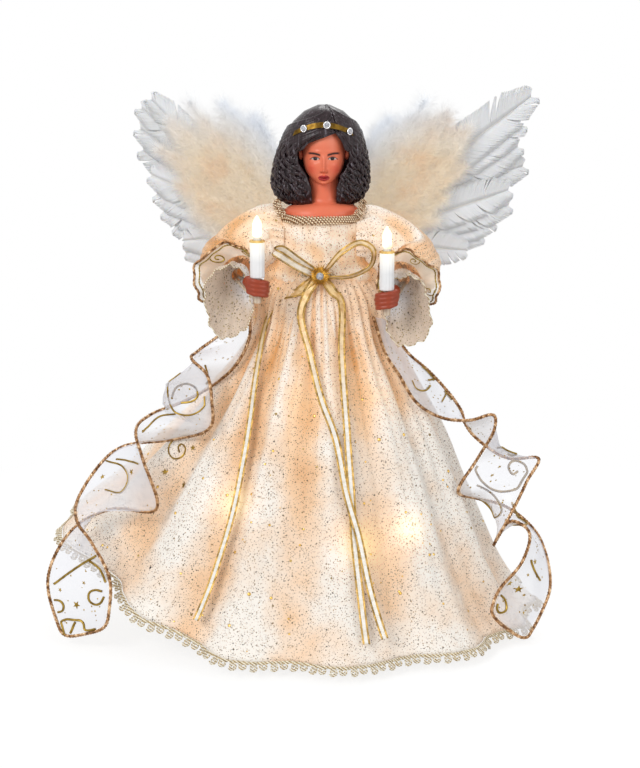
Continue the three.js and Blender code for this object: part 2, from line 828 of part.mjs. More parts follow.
// Lamp string: one length of wire with eight holders in the cone and a socket in each candle.
const lampTurn = (azimuth) =>
  new THREE.Matrix4().makeRotationFromEuler(new THREE.Euler(0, quarterTurn, azimuth, "ZYX"));

function placedOut(geometry, { azimuth, height }, radius) {
  const { x, y, z } = outFrom(azimuth, radius, height);
  return geometry.applyMatrix4(lampTurn(azimuth)).translate(x, y, z);
}

function barrel(height) {
  const wallSlope = (coneFootRadius - coneTopRadius) / (coneHeight - footThickness);
  const flangeFront = -coneWall - barrelFlangeRadius * wallSlope - barrelFlangeGap;
  const flangeBack = flangeFront - barrelFlangeThickness;
  return turned(
    [
      [0, -barrelInside],
      [barrelRadius, -barrelInside],
      [barrelRadius, flangeBack],
      [barrelFlangeRadius, flangeBack],
      [barrelFlangeRadius, flangeFront],
      [barrelRadius, flangeFront],
      [barrelRadius, barrelProud],
      [socketBore, barrelProud],
      [socketBore, barrelProud - socketDepth],
      [0, barrelProud - socketDepth],
    ],
    8,
  );
}

function candleSocket(arm) {
  const { x, y } = handPoint(arm);
  const tailBottom = arm.handHeight - fistHalfHeight - candleTailDrop;
  const foot = candleFoot(arm) + touchGap;
  const top = candleRim(arm) - touchGap;
  return turned(
    [
      [0, tailBottom],
      [candleTailRadius, tailBottom],
      [candleTailRadius, foot],
      [candleSocketRadius, foot],
      [candleSocketRadius, top],
      [candleBoreRadius, top],
      [candleBoreRadius, socketFloor(arm)],
      [0, socketFloor(arm)],
    ],
    8,
  ).translate(x, y, 0);
}

function lightString() {
  const holders = lamps.map((lamp) => placedOut(barrel(lamp.height), lamp, coneRadiusAt(lamp.height)));
  const tailOf = ({ azimuth, height }) =>
    outFrom(azimuth, coneRadiusAt(height) - barrelInside + wireRadius, height);
  const runs = lamps.slice(1).map((lamp, i) => {
    const last = lamps[i];
    const height = lerp(last.height, lamp.height, 1 / 2);
    const azimuth = lerp(last.azimuth, lamp.azimuth, 1 / 2);
    const between = outFrom(azimuth, coneRadiusAt(height) - barrelInside - 2 * wireRadius, height);
    return tube([tailOf(last), between, tailOf(lamp)], wireRadius, 4, 4);
  });
  const leads = Object.values(arms).map((arm) => {
    const nearest = lamps[highOf(arm.side)];
    const nearestRadius = coneRadiusAt(nearest.height);
    const inner = leadHoleRadius - leadRadius - 2 * touchGap;
    const tail = handPoint(arm).setZ(arm.handHeight - fistHalfHeight - candleTailDrop + leadRadius);
    const under = (back) => tail.clone().addScaledVector(forearm(arm), -back);
    return tube(
      [
        tailOf(nearest),
        outFrom(nearest.azimuth, nearestRadius - barrelInside * 1.6, nearest.height + barrelInside),
        point((arm.side * inner) / 2, 0, coneHeight - cutOverrun * 3),
        point(arm.side * (inner - leadRadius), 0, coneHeight + torsoWall),
        point((arm.side * torsoWaistHalfWidth) / 2, 0, armHoleHeight - 2 * armHoleRadius),
        ...armPath(arm, armWireRadius + leadRadius + 2 * touchGap),
        wristEnd(arm).add(point(0, 0, -wristRadius - leadRadius - 3 * touchGap)),
        under(wristLength / 2),
        tail,
      ],
      leadRadius,
      18,
      4,
    );
  });
  const sockets = Object.values(arms).map(candleSocket);
  return joined([...runs, ...holders, ...sockets, ...leads]);
}

// The index of the high lamp that lies farthest to one side.
function highOf(side) {
  const across = (lamp) => (lamp.height === highLamps.height ? side * Math.cos(lamp.azimuth) : -2);
  return lamps.reduce((best, lamp, i) => (across(lamp) > across(lamps[best]) ? i : best), 0);
}
add("light_string", lightString(), wirePlastic);

lamps.forEach((lamp, i) => {
  const foot = barrelProud - socketDepth + touchGap;
  const proud = barrelProud + huskProud;
  const outline = [[0, foot], [huskRadius, foot], [huskRadius, proud], ...bulbGlassOutline(proud)];
  const bulb = add(`lamp_bulb_${i + 1}`, turned(outline, 7), lampGlass);
  bulb.position.copy(outFrom(lamp.azimuth, coneRadiusAt(lamp.height), lamp.height));
  bulb.rotation.set(0, quarterTurn, lamp.azimuth, "ZYX");
});

// Bodice: a close cloth shell over the torso form, up to a square neckline that rises at the shoulders.
const necklineAt = (a) => coneHeight + torsoHeight + necklineStand + necklineRise * Math.cos(a) ** 10;
const bodiceFoot = waistHeight - beltWidth;
const bodiceGrow = bodiceGap + bodiceCloth;

function bodiceSurface(a, t, grow) {
  const height = lerp(bodiceFoot, necklineAt(a), t);
  const oval = torsoOval(clamp((height - coneHeight) / torsoHeight, 0, 1));
  return ovalPoint(a, { ...oval, height }, grow);
}

const seatedBodice = shellOf(
  24,
  [0, 0.35, 1],
  (a, t) => bodiceSurface(a, t, bodiceGrow),
  (a, t) => bodiceSurface(a, t, bodiceGap),
);
const armOpening = (radius) => {
  const reach = torsoChestHalfWidth + bodiceGrow + cutOverrun;
  return rod(radius, point(-reach, 0, armHoleHeight), point(reach, 0, armHoleHeight), 12);
};
add("bodice", cutFrom(seatedBodice, [armOpening(armHoleRadius)]), satin);

// Skirt: gathered at the waist, spread by its folds, with the hem kicked up on the left.
const waistOval = torsoOval((waistHeight - coneHeight) / torsoHeight);
const waistGrow = bodiceGrow + touchGap + skirtCloth;

const train = (a) => {
  const off = Math.abs(((a - trainAzimuth + 3 * Math.PI) % fullTurn) - Math.PI);
  return ease(1 - clamp(off / trainSpread, 0, 1));
};
const foldAt = (a) => (1 - Math.cos(foldCount * a + 0.9 * Math.sin(2 * a + 0.5) + 0.6 * Math.sin(3 * a))) / 2;
const foldDepthAt = (drop) => foldDepth * Math.sqrt(clamp(drop, 0, 1)) * smoothstep(drop, 0, 0.2);

// How much of the spread from waist to hem is reached at a drop.
const spreadAt = (drop, lift) => {
  const flare = flareShare * drop ** 6 * (1 - drop);
  const hollow = trainHollowShare * drop * (1 - drop) ** 2;
  return drop - lerp(flare, hollow, lift);
};

// A point of the skirt's outer face, at a turn of the azimuth and a share of the way down to the hem.
function clothPoint(a, drop, off, fold) {
  const lift = train(a);
  const spread = spreadAt(drop, lift);
  const hemWidth = hemHalfWidth + trainReach * lift;
  const hemDepth = hemHalfDepth + trainReach * lift;
  const sink = off - foldDepthAt(drop) * fold;
  return point(
    Math.cos(a) * (lerp(waistOval.halfWidth + waistGrow, hemWidth, spread) + sink),
    Math.sin(a) * (lerp(waistOval.halfDepth + waistGrow, hemDepth, spread) + sink),
    lerp(waistHeight, hemHeight + trainLift * lift, drop),
  );
}

// The cloth runs straight between these rows, and whatever lies on it follows it there.
const skirtRowShares = [0, 0.1, 0.3, 0.6, 0.85, 1];

function skirtPoint(a, drop, off = 0, fold = foldAt(a)) {
  const below = skirtRowShares.findIndex((share) => share >= drop);
  if (below < 1) return clothPoint(a, drop, off, fold);
  const [from, to] = [skirtRowShares[below - 1], skirtRowShares[below]];
  return clothPoint(a, from, off, fold).lerp(clothPoint(a, to, off, fold), (drop - from) / (to - from));
}

const skirt = shellOf(
  foldCount * 5,
  skirtRowShares,
  (a, drop) => skirtPoint(a, drop),
  (a, drop) => skirtPoint(a, drop, -skirtCloth),
);
add("skirt", skirt, satin);

// Lining: a plain cone of cotton inside the folds, a little shorter than the skirt.
const liningRowShares = [0.05, ...skirtRowShares.slice(1, -1), 1 - liningShort / (waistHeight - hemHeight)];
const liningPoint = (a, drop, inner) => {
  const off = -skirtCloth - liningGap * smoothstep(drop, 0, skirtRowShares[2]) - touchGap;
  return skirtPoint(a, drop, inner ? off - liningCloth : off, 1);
};
const lining = shellOf(
  20,
  liningRowShares,
  (a, drop) => liningPoint(a, drop, false),
  (a, drop) => liningPoint(a, drop, true),
);
add("skirt_lining", lining, liningCotton);

// Hem lace: a gimp edging with scallops that hangs from the hem in the line of the cloth.
function hemLace() {
  const sections = ringOf(2 * scallopCount, (a, j) => {
    const edge = skirtPoint(a, 1);
    const fall = edge.clone().sub(skirtPoint(a, 0.97)).normalize();
    const back = point(-Math.cos(a), -Math.sin(a), 0).multiplyScalar(laceThickness);
    const top = edge.clone().addScaledVector(fall, touchGap);
    const depth = laceDrop - (j % 2) * laceScallop;
    const bottom = edge.clone().addScaledVector(fall, depth);
    return [top, bottom, bottom.clone().add(back), top.clone().add(back)];
  });
  return bodyOf(sections, "loop");
}
add("hem_lace", hemLace(), silverLace);

// Braids: a looped gimp round the neckline and a narrow one round the waist.
function braid(at, width, thickness, loops) {
  const sections = ringOf(2 * loops, (a, j) => {
    const puff = thickness * (1 + (j % 2) * braidLoopShare);
    const reach = width * (0.5 - (j % 2) * 0.06);
    return [at(a, 0, reach), at(a, puff, 0), at(a, 0, -reach)];
  });
  return bodyOf(sections, "loop");
}

const neckBraid = braid(
  (a, out, up) => {
    const height = necklineAt(a) - braidWidth / 4 + up;
    return bodiceSurface(a, 1, bodiceGrow + touchGap + out).setZ(height);
  },
  braidWidth,
  braidThickness,
  braidLoops,
);
add("neckline_braid", neckBraid, silverLace);

const waistBraid = braid(
  (a, out, up) => {
    const height = waistHeight + beltWidth * 0.7 + up;
    return ovalPoint(a, { ...waistOval, height }, bodiceGrow + touchGap + out);
  },
  beltWidth,
  beltThickness,
  braidLoops,
);
add("waist_braid", waistBraid, silverLace);

// Sleeves. Each is a puffed, pleated shell from shoulder to cinch; a white bell and a sheer cuff flare
// from the cinch round the wrist.
const cinchPoint = (arm) => elbowPoint(arm).lerp(handPoint(arm), 0.36);

function sleeveFrame(centre, along) {
  const down = point(0, 0, -1);
  const across = along.clone().cross(down).normalize();
  const drop = across.clone().cross(along).normalize();
  return (a, halfWidth, halfHeight) =>
    centre
      .clone()
      .addScaledVector(across, Math.cos(a) * halfWidth)
      .addScaledVector(drop, Math.sin(a) * halfHeight);
}

function sleeveShell(stations, sides, cloth, wave) {
  const ringAt = ({ centre, along, halfWidth, halfHeight, ripple }, inset) =>
    ringOf(sides, (a) => {
      const extra = ripple * wave(a) - inset;
      return sleeveFrame(centre, along)(a, halfWidth + extra, halfHeight + extra);
    });
  const outside = stations.map((station) => ringAt(station, 0));
  const inside = stations.toReversed().map((station) => ringAt(station, cloth));
  return bodyOf([...outside, ...inside], "loop");
}

// [way along, radius, rise] of the puff, as shares of the path, the puff's radius and its rise.
const puffShares = [
  [0, 0.78, 0.9],
  [0.2, 0.95, 1],
  [0.45, 1, 0.7],
  [0.75, 0.95, 0.3],
  [1, cinchRadius / sleevePuff, 0],
];

function puffSleeve(arm) {
  const start = point(arm.side * (torsoChestHalfWidth + bodiceGrow + 4 * touchGap), 0, armHoleHeight);
  const path = new THREE.CatmullRomCurve3([start, shoulderPoint(arm), elbowPoint(arm), cinchPoint(arm)]);
  const stations = puffShares.map(([t, wide, rise]) => ({
    centre: path.getPoint(t).add(point(0, 0, rise * puffRise)),
    along: path.getTangent(t),
    halfWidth: wide * sleevePuff,
    halfHeight: wide * sleevePuff,
    ripple: -pleatDepth * (0.3 + 0.7 * Math.sin(Math.PI * t)),
  }));
  return sleeveShell(stations, sleevePleats * 2, sleeveCloth, (a) => (1 + Math.cos(sleevePleats * a)) / 2);
}

function underSleeve(arm) {
  const along = forearm(arm);
  const start = cinchPoint(arm).addScaledVector(along, -2 * underCloth);
  const drop = point(arm.side * underOut, 0, -underSag);
  const mouth = handPoint(arm).addScaledVector(along, -wristLength * 0.75).add(drop);
  const inset = cinchRadius - sleeveCloth - pleatDepth - 2 * touchGap;
  const stations = [0, 0.35, 0.7, 1].map((t) => ({
    centre: start.clone().lerp(mouth, t),
    along: along.clone().add(point(0, 0, t / 4)).normalize(),
    halfWidth: lerp(inset, underMouthHalfWidth, ease(t)),
    halfHeight: lerp(inset, underMouthHalfHeight, ease(t)),
    ripple: -pleatDepth * ease(t),
  }));
  return sleeveShell(stations, 20, underCloth, (a) => (1 + Math.cos(4 * a + 1)) / 2);
}

function sheerCuff(arm) {
  const along = forearm(arm);
  const start = cinchPoint(arm).addScaledVector(along, touchGap * 2);
  const sides = cuffWaves * 4;
  const ringAt = (t, inset) =>
    ringOf(sides, (a) => {
      const radius = lerp(cinchRadius + cuffCloth, cuffRadius, t);
      const centre = start.clone().addScaledVector(along, t * cuffReach);
      centre.x += arm.side * cuffOut * t;
      const wave = Math.sin(cuffWaves * a) * cuffWaveDepth * t;
      return sleeveFrame(centre, along)(a, radius, radius).addScaledVector(along, wave - inset);
    });
  const shares = [0, 0.4, 1];
  const front = shares.map((t) => ringAt(t, 0));
  const back = shares.toReversed().map((t) => ringAt(t, cuffCloth));
  return bodyOf([...front, ...back], "loop");
}

for (const [name, arm] of Object.entries(arms)) {
  add(`${name}_sleeve`, puffSleeve(arm), satin);
  add(`${name}_under_sleeve`, underSleeve(arm), liningCotton);
  add(`${name}_cuff`, sheerCuff(arm), sheerOrganza);
}

// A flat band along a path: at each station a centre, the way its width runs, and its thickness.
function band(stations, width, thickness) {
  const sections = stations.map(({ centre, across }, i) => {
    const before = stations[Math.max(i - 1, 0)].centre;
    const after = stations[Math.min(i + 1, stations.length - 1)].centre;
    const along = after.clone().sub(before).normalize();
    const side = across.clone().addScaledVector(along, -across.dot(along)).normalize();
    const face = along.clone().cross(side).normalize().multiplyScalar(thickness / 2);
    const left = centre.clone().addScaledVector(side, -width / 2);
    const right = centre.clone().addScaledVector(side, width / 2);
    return [left.clone().add(face), right.clone().add(face), right.sub(face), left.sub(face)];
  });
  return bodyOf(sections, "strip");
}

// Ribbon tails: [azimuth in degrees, drop] down the skirt's front. The right one is two strands wide.
const leftTailShares = [
  [247, 0.03],
  [222, 0.07],
  [218, 0.12],
  [226, 0.24],
  [235, 0.42],
  [238, 0.6],
  [237, 0.79],
  [236, 0.94],
];
const middleTailShares = [
  [257, 0.03],
  [253, 0.08],
  [263, 0.19],
  [271, 0.32],
  [277, 0.42],
  [280, 0.57],
  [283, 0.68],
  [285, 0.82],
  [287, 0.94],
];
const rightTailShares = [
  [284, 0.03],
  [291, 0.06],
  [285, 0.19],
  [282.5, 0.42],
  [282, 0.55],
  [281.5, 0.68],
  [282, 0.84],
  [282, 0.95],
];

function tail(route, off) {
  const guide = new THREE.CatmullRomCurve3(route.map(([azimuth, drop]) => point(degToRad(azimuth), drop, 0)));
  const steps = 12;
  const stations = Array.from({ length: steps + 1 }, (_, i) => {
    const { x: a, y: drop } = guide.getPoint(i / steps);
    return { centre: skirtPoint(a, drop, off, 0), across: point(-Math.sin(a), Math.cos(a), 0) };
  });
  return band(stations, ribbonWidth, ribbonThickness);
}
add("ribbon_tail_left", tail(leftTailShares, ribbonLift), goldRibbon);
add("ribbon_tail_middle", tail(middleTailShares, ribbonLift + ribbonThickness + touchGap), goldRibbon);
add("ribbon_tail_right", tail(rightTailShares, ribbonLift), goldRibbon);

// Bow: two loops of the same ribbon on the waist braid, behind the brooch.
const beltFront = waistOval.halfDepth + bodiceGrow + touchGap + beltThickness * (1 + braidLoopShare);
const bowKnot = point(0, -beltFront - touchGap - ribbonWidth / 2, broochHeight);

// [out, up, forward] as shares of the bow's reach.
const leftLoopShares = [
  [-0.12, 0, 0.02],
  [-0.5, 0.26, 0.12],
  [-0.86, 0.5, 0.14],
  [-1, 0.56, 0.04],
  [-0.86, 0.48, -0.02],
  [-0.5, 0.24, -0.03],
  [-0.13, 0, -0.06],
];
const rightLoopShares = [
  [0.12, 0.08, 0],
  [0.5, 0.52, 0.06],
  [0.9, 0.72, 0.08],
  [1.16, 0.56, 0.06],
  [1.12, 0.22, 0.04],
  [0.7, -0.02, 0.04],
  [0.14, -0.06, 0],
];

function bowLoop(shares, across) {
  const at = ([out, up, forward]) => point(out, -forward, up).multiplyScalar(bowReach).add(bowKnot);
  const guide = new THREE.CatmullRomCurve3(shares.map(at));
  const steps = 13;
  const station = (_, i) => ({ centre: guide.getPoint(i / steps), across });
  return band(Array.from({ length: steps + 1 }, station), ribbonWidth, ribbonThickness);
}
add("bow_loop_left", bowLoop(leftLoopShares, point(0.5, 0, 0.86)), goldRibbon);
add("bow_loop_right", bowLoop(rightLoopShares, point(0, 1, 0)), goldRibbon);

// Brooch: a stamped sunburst with a clear stone.
function brooch() {
  const count = 2 * broochRays;
  const rim = (depth, reach) =>
    ringOf(count, (a, j) => {
      const radius = broochRadius * reach * (j % 2 ? 0.8 : 1);
      return point(Math.cos(a) * radius, -depth, Math.sin(a) * radius);
    });
  const dome = broochGemRadius / broochRadius;
  return bodyOf([rim(0, 1), rim(broochThickness * 0.35, 1), rim(broochThickness, dome * 1.3)], "caps");
}
const broochMount = new THREE.Group();
broochMount.position.copy(bowKnot);
broochMount.position.y -= bowReach * 0.03 + ribbonWidth / 2 + touchGap;
angel.add(broochMount);
add("brooch", brooch(), goldMetal, broochMount);
const broochGem = add("brooch_gem", stone(broochGemRadius), clearGem, broochMount);
broochGem.position.y = -broochThickness - touchGap;
broochGem.rotation.x = quarterTurn;

// Drapes: a long strip of sheer cloth falls down each side of the skirt and folds over on itself. Each
// row crosses the strip: azimuth in degrees, drop and stand-off of its two edges, and how far the cloth
// bulges between them.
const leftDrapeShares = [
  [190, 0.07, 0.04, 196, 0.07, 0.43, 0],
  [204, 0.1, 0.58, 194, 0.19, 0.82, 0],
  [202, 0.21, 0.15, 192, 0.27, 1.19, 0],
  [205, 0.29, 0.15, 203, 0.27, 1.47, 0.4],
  [194, 0.4, 0.15, 210, 0.31, 1, 1.3],
  [190, 0.47, 0.45, 214, 0.39, 0.58, 1],
  [194, 0.5, 1.25, 218, 0.45, 0.45, 0],
  [201, 0.52, 1.68, 195, 0.59, 0.15, 0],
  [208, 0.58, 1.45, 191, 0.64, 1.29, 0],
  [214, 0.72, 0.58, 195, 0.79, 1.48, 0],
  [202, 0.79, 0.92, 203, 0.81, 1.72, 0],
  [197, 0.9, 1.11, 207, 0.85, 1.42, 0],
  [199, 1.05, 0.75, 212, 0.95, 0.58, 0],
  [204, 1.21, -1.65, 214, 1.09, -0.59, 0],
];
const rightDrapeShares = [
  [326, 0.11, 0.04, 338, 0.12, 0.1, 0],
  [319, 0.21, 0.15, 345, 0.22, 0.12, 0],
  [324, 0.27, 0.15, 350, 0.28, 0.41, 0],
  [329, 0.35, 0.15, 353, 0.36, 0.67, 0],
  [343, 0.41, 0.37, 355, 0.41, 0.72, 0],
  [341, 0.41, 1.15, 353, 0.44, 0.73, 0],
  [340, 0.39, 1.96, 351, 0.48, 0.93, 0],
  [338, 0.43, 1.88, 349, 0.53, 1.56, 0],
  [342, 0.53, 0.85, 349, 0.53, 2.41, 0],
  [334, 0.61, 0.15, 345, 0.59, 1.87, 0],
  [347, 0.66, 0.2, 339, 0.67, 1.25, 0],
  [348, 0.69, 0.88, 341, 0.78, 0.3, 0],
  [352, 0.76, 1.39, 339, 0.7, 1.2, 0],
  [348, 0.82, 1.52, 339, 0.73, 1.63, 0],
  [343, 0.9, 1.3, 335, 0.81, 1.26, 0],
  [337, 0.96, 0.76, 327, 0.88, 0.58, 0],
  [328, 1.01, 0.22, 324, 0.94, 0.12, 0],
];

// The strip's surface: t runs down it and s across it.
function drapeSurface(shares) {
  const edge = (from) =>
    new THREE.CatmullRomCurve3(
      shares.map((row) => {
        const [azimuth, drop, stand] = row.slice(from, from + 3);
        return skirtPoint(degToRad(azimuth), drop, stand * drapeStand, 0);
      }),
    );
  const [inner, outer] = [edge(0), edge(3)];
  return (t, s) => {
    const here = inner.getPoint(t).lerp(outer.getPoint(t), s);
    const near = t * (shares.length - 1);
    const bulge = lerp(shares[Math.floor(near)][6], shares[Math.ceil(near)][6], near % 1) * drapeStand;
    return here.addScaledVector(here.clone().setZ(0).normalize(), 4 * s * (1 - s) * bulge);
  };
}

// The cloth stops short of the cord that runs along its edges and end.
const cordSeat = drapeCordRadius + drapeCordGap;

function drapeCloths(surface, rows) {
  const across = 3;
  const end = 1 - cordSeat / surface(1, 1 / 2).distanceTo(surface(1 - 1 / rows, 1 / 2)) / rows;
  // The share of a row that the cord takes at one side, where the row may meet the cord aslant.
  const inset = (t, s) => {
    const row = surface(t, 1).sub(surface(t, 0));
    const along = surface(Math.min(t + 1 / rows, 1), s).sub(surface(Math.max(t - 1 / rows, 0), s));
    const straight = row.clone().cross(along).length() / along.length();
    return Math.min(cordSeat / straight, 0.4);
  };
  return Array.from({ length: rows + 1 }, (_, i) => {
    const t = (i / rows) * end;
    const [from, to] = [inset(t, 0), 1 - inset(t, 1)];
    return Array.from({ length: across + 1 }, (_, j) => surface(t, lerp(from, to, j / across)));
  });
}

// The cord runs down one side of a drape, across its end and up the other side.
function drapeCord(surface, rows, radius) {
  const side = (s) => Array.from({ length: rows }, (_, i) => surface(i / rows, s));
  const bottom = [0.03, 1 / 2, 0.97].map((s) => surface(1, s));
  return cord([...side(0), ...bottom, ...side(1).toReversed()], radius, 4);
}

// A sheet of cloth from a grid of points, given its thickness along the grid's own normals.
function sheet(grid, thickness) {
  const near = (i, n) => [Math.max(i - 1, 0), Math.min(i + 1, n - 1)];
  const sections = grid.map((row, i) => {
    const [above, below] = near(i, grid.length);
    const faces = row.map((p, j) => {
      const [left, right] = near(j, row.length);
      const along = grid[below][j].clone().sub(grid[above][j]);
      return row[right].clone().sub(row[left]).cross(along).normalize().multiplyScalar(thickness / 2);
    });
    const front = row.map((p, j) => p.clone().add(faces[j]));
    const rear = row.map((p, j) => p.clone().sub(faces[j]));
    return [...front, ...rear.toReversed()];
  });
  return bodyOf(sections, "strip");
}
for (const [name, shares] of [["left", leftDrapeShares], ["right", rightDrapeShares]]) {
  const surface = drapeSurface(shares);
  const rows = 2 * (shares.length - 1);
  const roomForCord = drapeCord(surface, rows, drapeCordRadius + touchGap);
  const cloth = largestLeft(sheet(drapeCloths(surface, rows), drapeCloth), [roomForCord]);
  add(`${name}_drape`, cloth, sheerOrganza);
  add(`${name}_drape_cord`, drapeCord(surface, rows, drapeCordRadius), goldCord);
}

// Wings: long feathers fan out from a card on the gown's back, and a bank of down covers their roots.
const cardFront = torsoChestHalfDepth + bodiceGrow + touchGap;

function wingCard() {
  const outline = new THREE.Shape();
  outline.absellipse(0, wingRootHeight, wingCardHalfWidth, wingCardHeight / 2, 0, fullTurn);
  const pressed = { depth: wingCardThickness, bevelEnabled: false, curveSegments: 12 };
  return new THREE.ExtrudeGeometry(outline, pressed)
    .rotateX(quarterTurn)
    .translate(0, cardFront + wingCardThickness, 0);
}
add("wing_card", wingCard(), feather);

// [reach, rise in degrees, width] of each feather, from the top of the fan down. Plumes are the soft
// feathers of the down in front of them.
const leftFeatherShares = [
  [0.98, 42, 0.8],
  [0.99, 38, 0.9],
  [0.94, 33, 1],
  [0.88, 28, 1],
  [0.79, 22, 1],
  [0.74, 16, 1],
  [0.69, 10, 1],
  [0.63, 4, 1],
  [0.58, -2, 0.9],
  [0.58, -8, 0.8],
  [0.53, -12, 0.7],
];
const leftPlumeShares = [
  [0.6, 73, 0.8],
  [0.73, 63, 1],
  [0.84, 53, 1],
  [0.86, 43, 1],
  [0.72, 33, 1],
  [0.62, 23, 1],
  [0.5, 13, 1],
];
const rightFeatherShares = [
  [1, 35.5, 1.1],
  [0.9, 31, 1],
  [0.85, 26, 1],
  [0.84, 20, 1],
  [0.75, 15, 1],
  [0.74, 10, 1],
  [0.67, 5, 1],
  [0.62, 0, 1],
  [0.55, -6, 0.9],
  [0.47, -11, 0.8],
];
const rightPlumeShares = [
  [0.53, 71, 0.8],
  [0.66, 61, 1],
  [0.73, 51, 1],
  [0.72, 41, 1],
  [0.62, 31, 1],
  [0.52, 21, 1],
  [0.43, 11, 1],
];
const wings = {
  left: { side: -1, span: leftWingSpan, featherShares: leftFeatherShares, plumeShares: leftPlumeShares },
  right: { side: 1, span: rightWingSpan, featherShares: rightFeatherShares, plumeShares: rightPlumeShares },
};

const bundleThickness = (featherLayers - 1) * featherLayer + quillThickness * 1.3;
const wingBack = cardFront + wingCardThickness + touchGap + quillThickness * 0.65;

// The wings step back past the gown and then sweep farther back with their reach.
const wingDepth = (out) => wingBack + wingBend * ease(clamp(out / wingBendReach, 0, 1)) + wingSweep * out;

// [along, half width] of a vane, and of a plume.
const vaneShares = [
  [0, 0.1],
  [0.16, 0.14],
  [0.38, 0.78],
  [0.66, 1],
  [0.9, 0.68],
  [1, 0.1],
];
const plumeOutlineShares = [
  [0, 0.3],
  [0.3, 0.8],
  [0.62, 1],
  [0.86, 0.7],
  [1, 0.12],
];

// A feather's body: its cross-sections run out from a root at an angle in the wing's plane. Each is
// thickest at its rib and thins to both edges.
function vane(side, angle, root, { length, width, shares, rib, depth }) {
  const along = point(side * Math.cos(angle), 0, Math.sin(angle));
  const up = point(-side * Math.sin(angle), 0, Math.cos(angle));
  const sections = shares.map(([t, wide]) => {
    const centre = root.clone().addScaledVector(along, t * length);
    centre.y = depth(t, Math.abs(centre.x) - wingRootOut);
    const half = (wide * width) / 2;
    const upper = centre.clone().addScaledVector(up, half);
    const lower = centre.clone().addScaledVector(up, -half);
    const thick = point(0, rib(t) / 2, 0);
    return [upper, centre.clone().sub(thick), lower, centre.add(thick)];
  });
  return bodyOf(sections, "strip");
}

function longFeathers({ side, span, featherShares }) {
  const root = point(side * wingRootOut, 0, wingRootHeight);
  const vanes = featherShares.map(([reach, rise, wide], layer) =>
    vane(side, degToRad(rise), root, {
      length: reach * span,
      width: wide * featherWidth,
      shares: vaneShares,
      rib: (t) => lerp(quillThickness, featherThickness, t),
      depth: (t, out) => wingDepth(out) + (layer % featherLayers) * featherLayer,
    }),
  );
  const bundle = vane(side, bundleRise, root.clone().setX(side * (wingRootOut - quillThickness)), {
    length: bundleLength,
    width: bundleWidth,
    shares: [[0, 0.5], [0.5, 0.9], [1, 1]],
    rib: () => bundleThickness,
    depth: (t, out) => wingDepth(out) + ((featherLayers - 1) * featherLayer) / 2,
  });
  return joined([bundle, ...vanes]);
}

// The down lies in front of the long feathers, a gap away from them.
function down({ side, span, plumeShares }) {
  const plumes = plumeShares.map(([reach, rise, wide]) => {
    const angle = degToRad(rise);
    const rootRise = (plumeRootOut - wingRootOut) * Math.tan(angle / 2);
    const thickAt = (t) => plumeThickness * lerp(1, 1 / 2, t);
    return vane(side, angle, point(side * plumeRootOut, 0, wingRootHeight + rootRise), {
      length: reach * span - plumeRootOut + wingRootOut,
      width: wide * plumeWidth,
      shares: plumeOutlineShares,
      rib: thickAt,
      depth: (t, out) => wingDepth(out) - quillThickness / 2 - plumeGap - thickAt(t) / 2,
    });
  });
  return joined(plumes);
}

for (const [name, wing] of Object.entries(wings)) {
  add(`${name}_wing_feathers`, longFeathers(wing), feather);
  add(`${name}_wing_down`, down(wing), feather);
}

export default angel;
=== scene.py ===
# The looks of a lit angel figurine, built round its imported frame. +Z is up, the front faces -Y, and
# left and right are the viewer's. Sizes are in millimetres, and new_piece brings them to metres.
import math

import bpy
import numpy as np
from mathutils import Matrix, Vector


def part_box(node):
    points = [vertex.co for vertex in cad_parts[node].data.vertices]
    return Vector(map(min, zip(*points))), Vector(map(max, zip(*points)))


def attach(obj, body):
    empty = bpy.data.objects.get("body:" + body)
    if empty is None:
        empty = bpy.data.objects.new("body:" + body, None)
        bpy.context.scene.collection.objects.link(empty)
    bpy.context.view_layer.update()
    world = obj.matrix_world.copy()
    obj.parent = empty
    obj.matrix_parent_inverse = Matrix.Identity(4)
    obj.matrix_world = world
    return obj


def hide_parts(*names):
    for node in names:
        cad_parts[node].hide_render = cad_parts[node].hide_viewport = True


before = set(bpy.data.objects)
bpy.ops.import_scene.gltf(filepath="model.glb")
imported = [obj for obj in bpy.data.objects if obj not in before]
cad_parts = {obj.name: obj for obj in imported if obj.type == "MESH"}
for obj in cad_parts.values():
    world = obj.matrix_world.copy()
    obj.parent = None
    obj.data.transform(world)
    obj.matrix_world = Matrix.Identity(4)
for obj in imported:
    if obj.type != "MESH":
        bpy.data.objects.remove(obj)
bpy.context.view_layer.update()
mm = 0.001
full_turn = 2 * math.pi

# View and light
# The camera stands 1.1 m from the angel and 12 degrees above its middle. The light is a plain soft
# studio: a large lamp from the upper left, a weaker one from the right, and one above and behind.
scene = bpy.context.scene
scene.view_settings.view_transform = "Standard"
aim = Vector((0, 0, 141.1)) * mm
camera_rise = math.radians(12)
camera_distance = 1.1
focal_in_heights = 2.418

camera = bpy.data.objects.new("camera", bpy.data.cameras.new("camera"))
scene.collection.objects.link(camera)
scene.camera = camera
back = Vector((0, -math.cos(camera_rise), math.sin(camera_rise)))
camera.location = aim + back * camera_distance
camera.rotation_euler = back.to_track_quat("Z", "Y").to_euler()
camera.data.sensor_width = 36
camera.data.lens = focal_in_heights * camera.data.sensor_width
camera.data.clip_start = 0.05


def studio_lamp(name, place, size, power):
    light = bpy.data.lights.new(name, "AREA")
    light.shape = "DISK"
    light.size = size
    light.energy = power
    lamp = bpy.data.objects.new(name, light)
    scene.collection.objects.link(lamp)
    lamp.location = place
    lamp.rotation_euler = (Vector(place) - aim).to_track_quat("Z", "Y").to_euler()


studio_lamp("key_lamp", (-1.1, -1.5, 1.3), 1.1, 21)
studio_lamp("fill_lamp", (1.5, -1.4, 0.7), 1.3, 9)
studio_lamp("rim_lamp", (0.3, 1.3, 1.7), 1.2, 12)


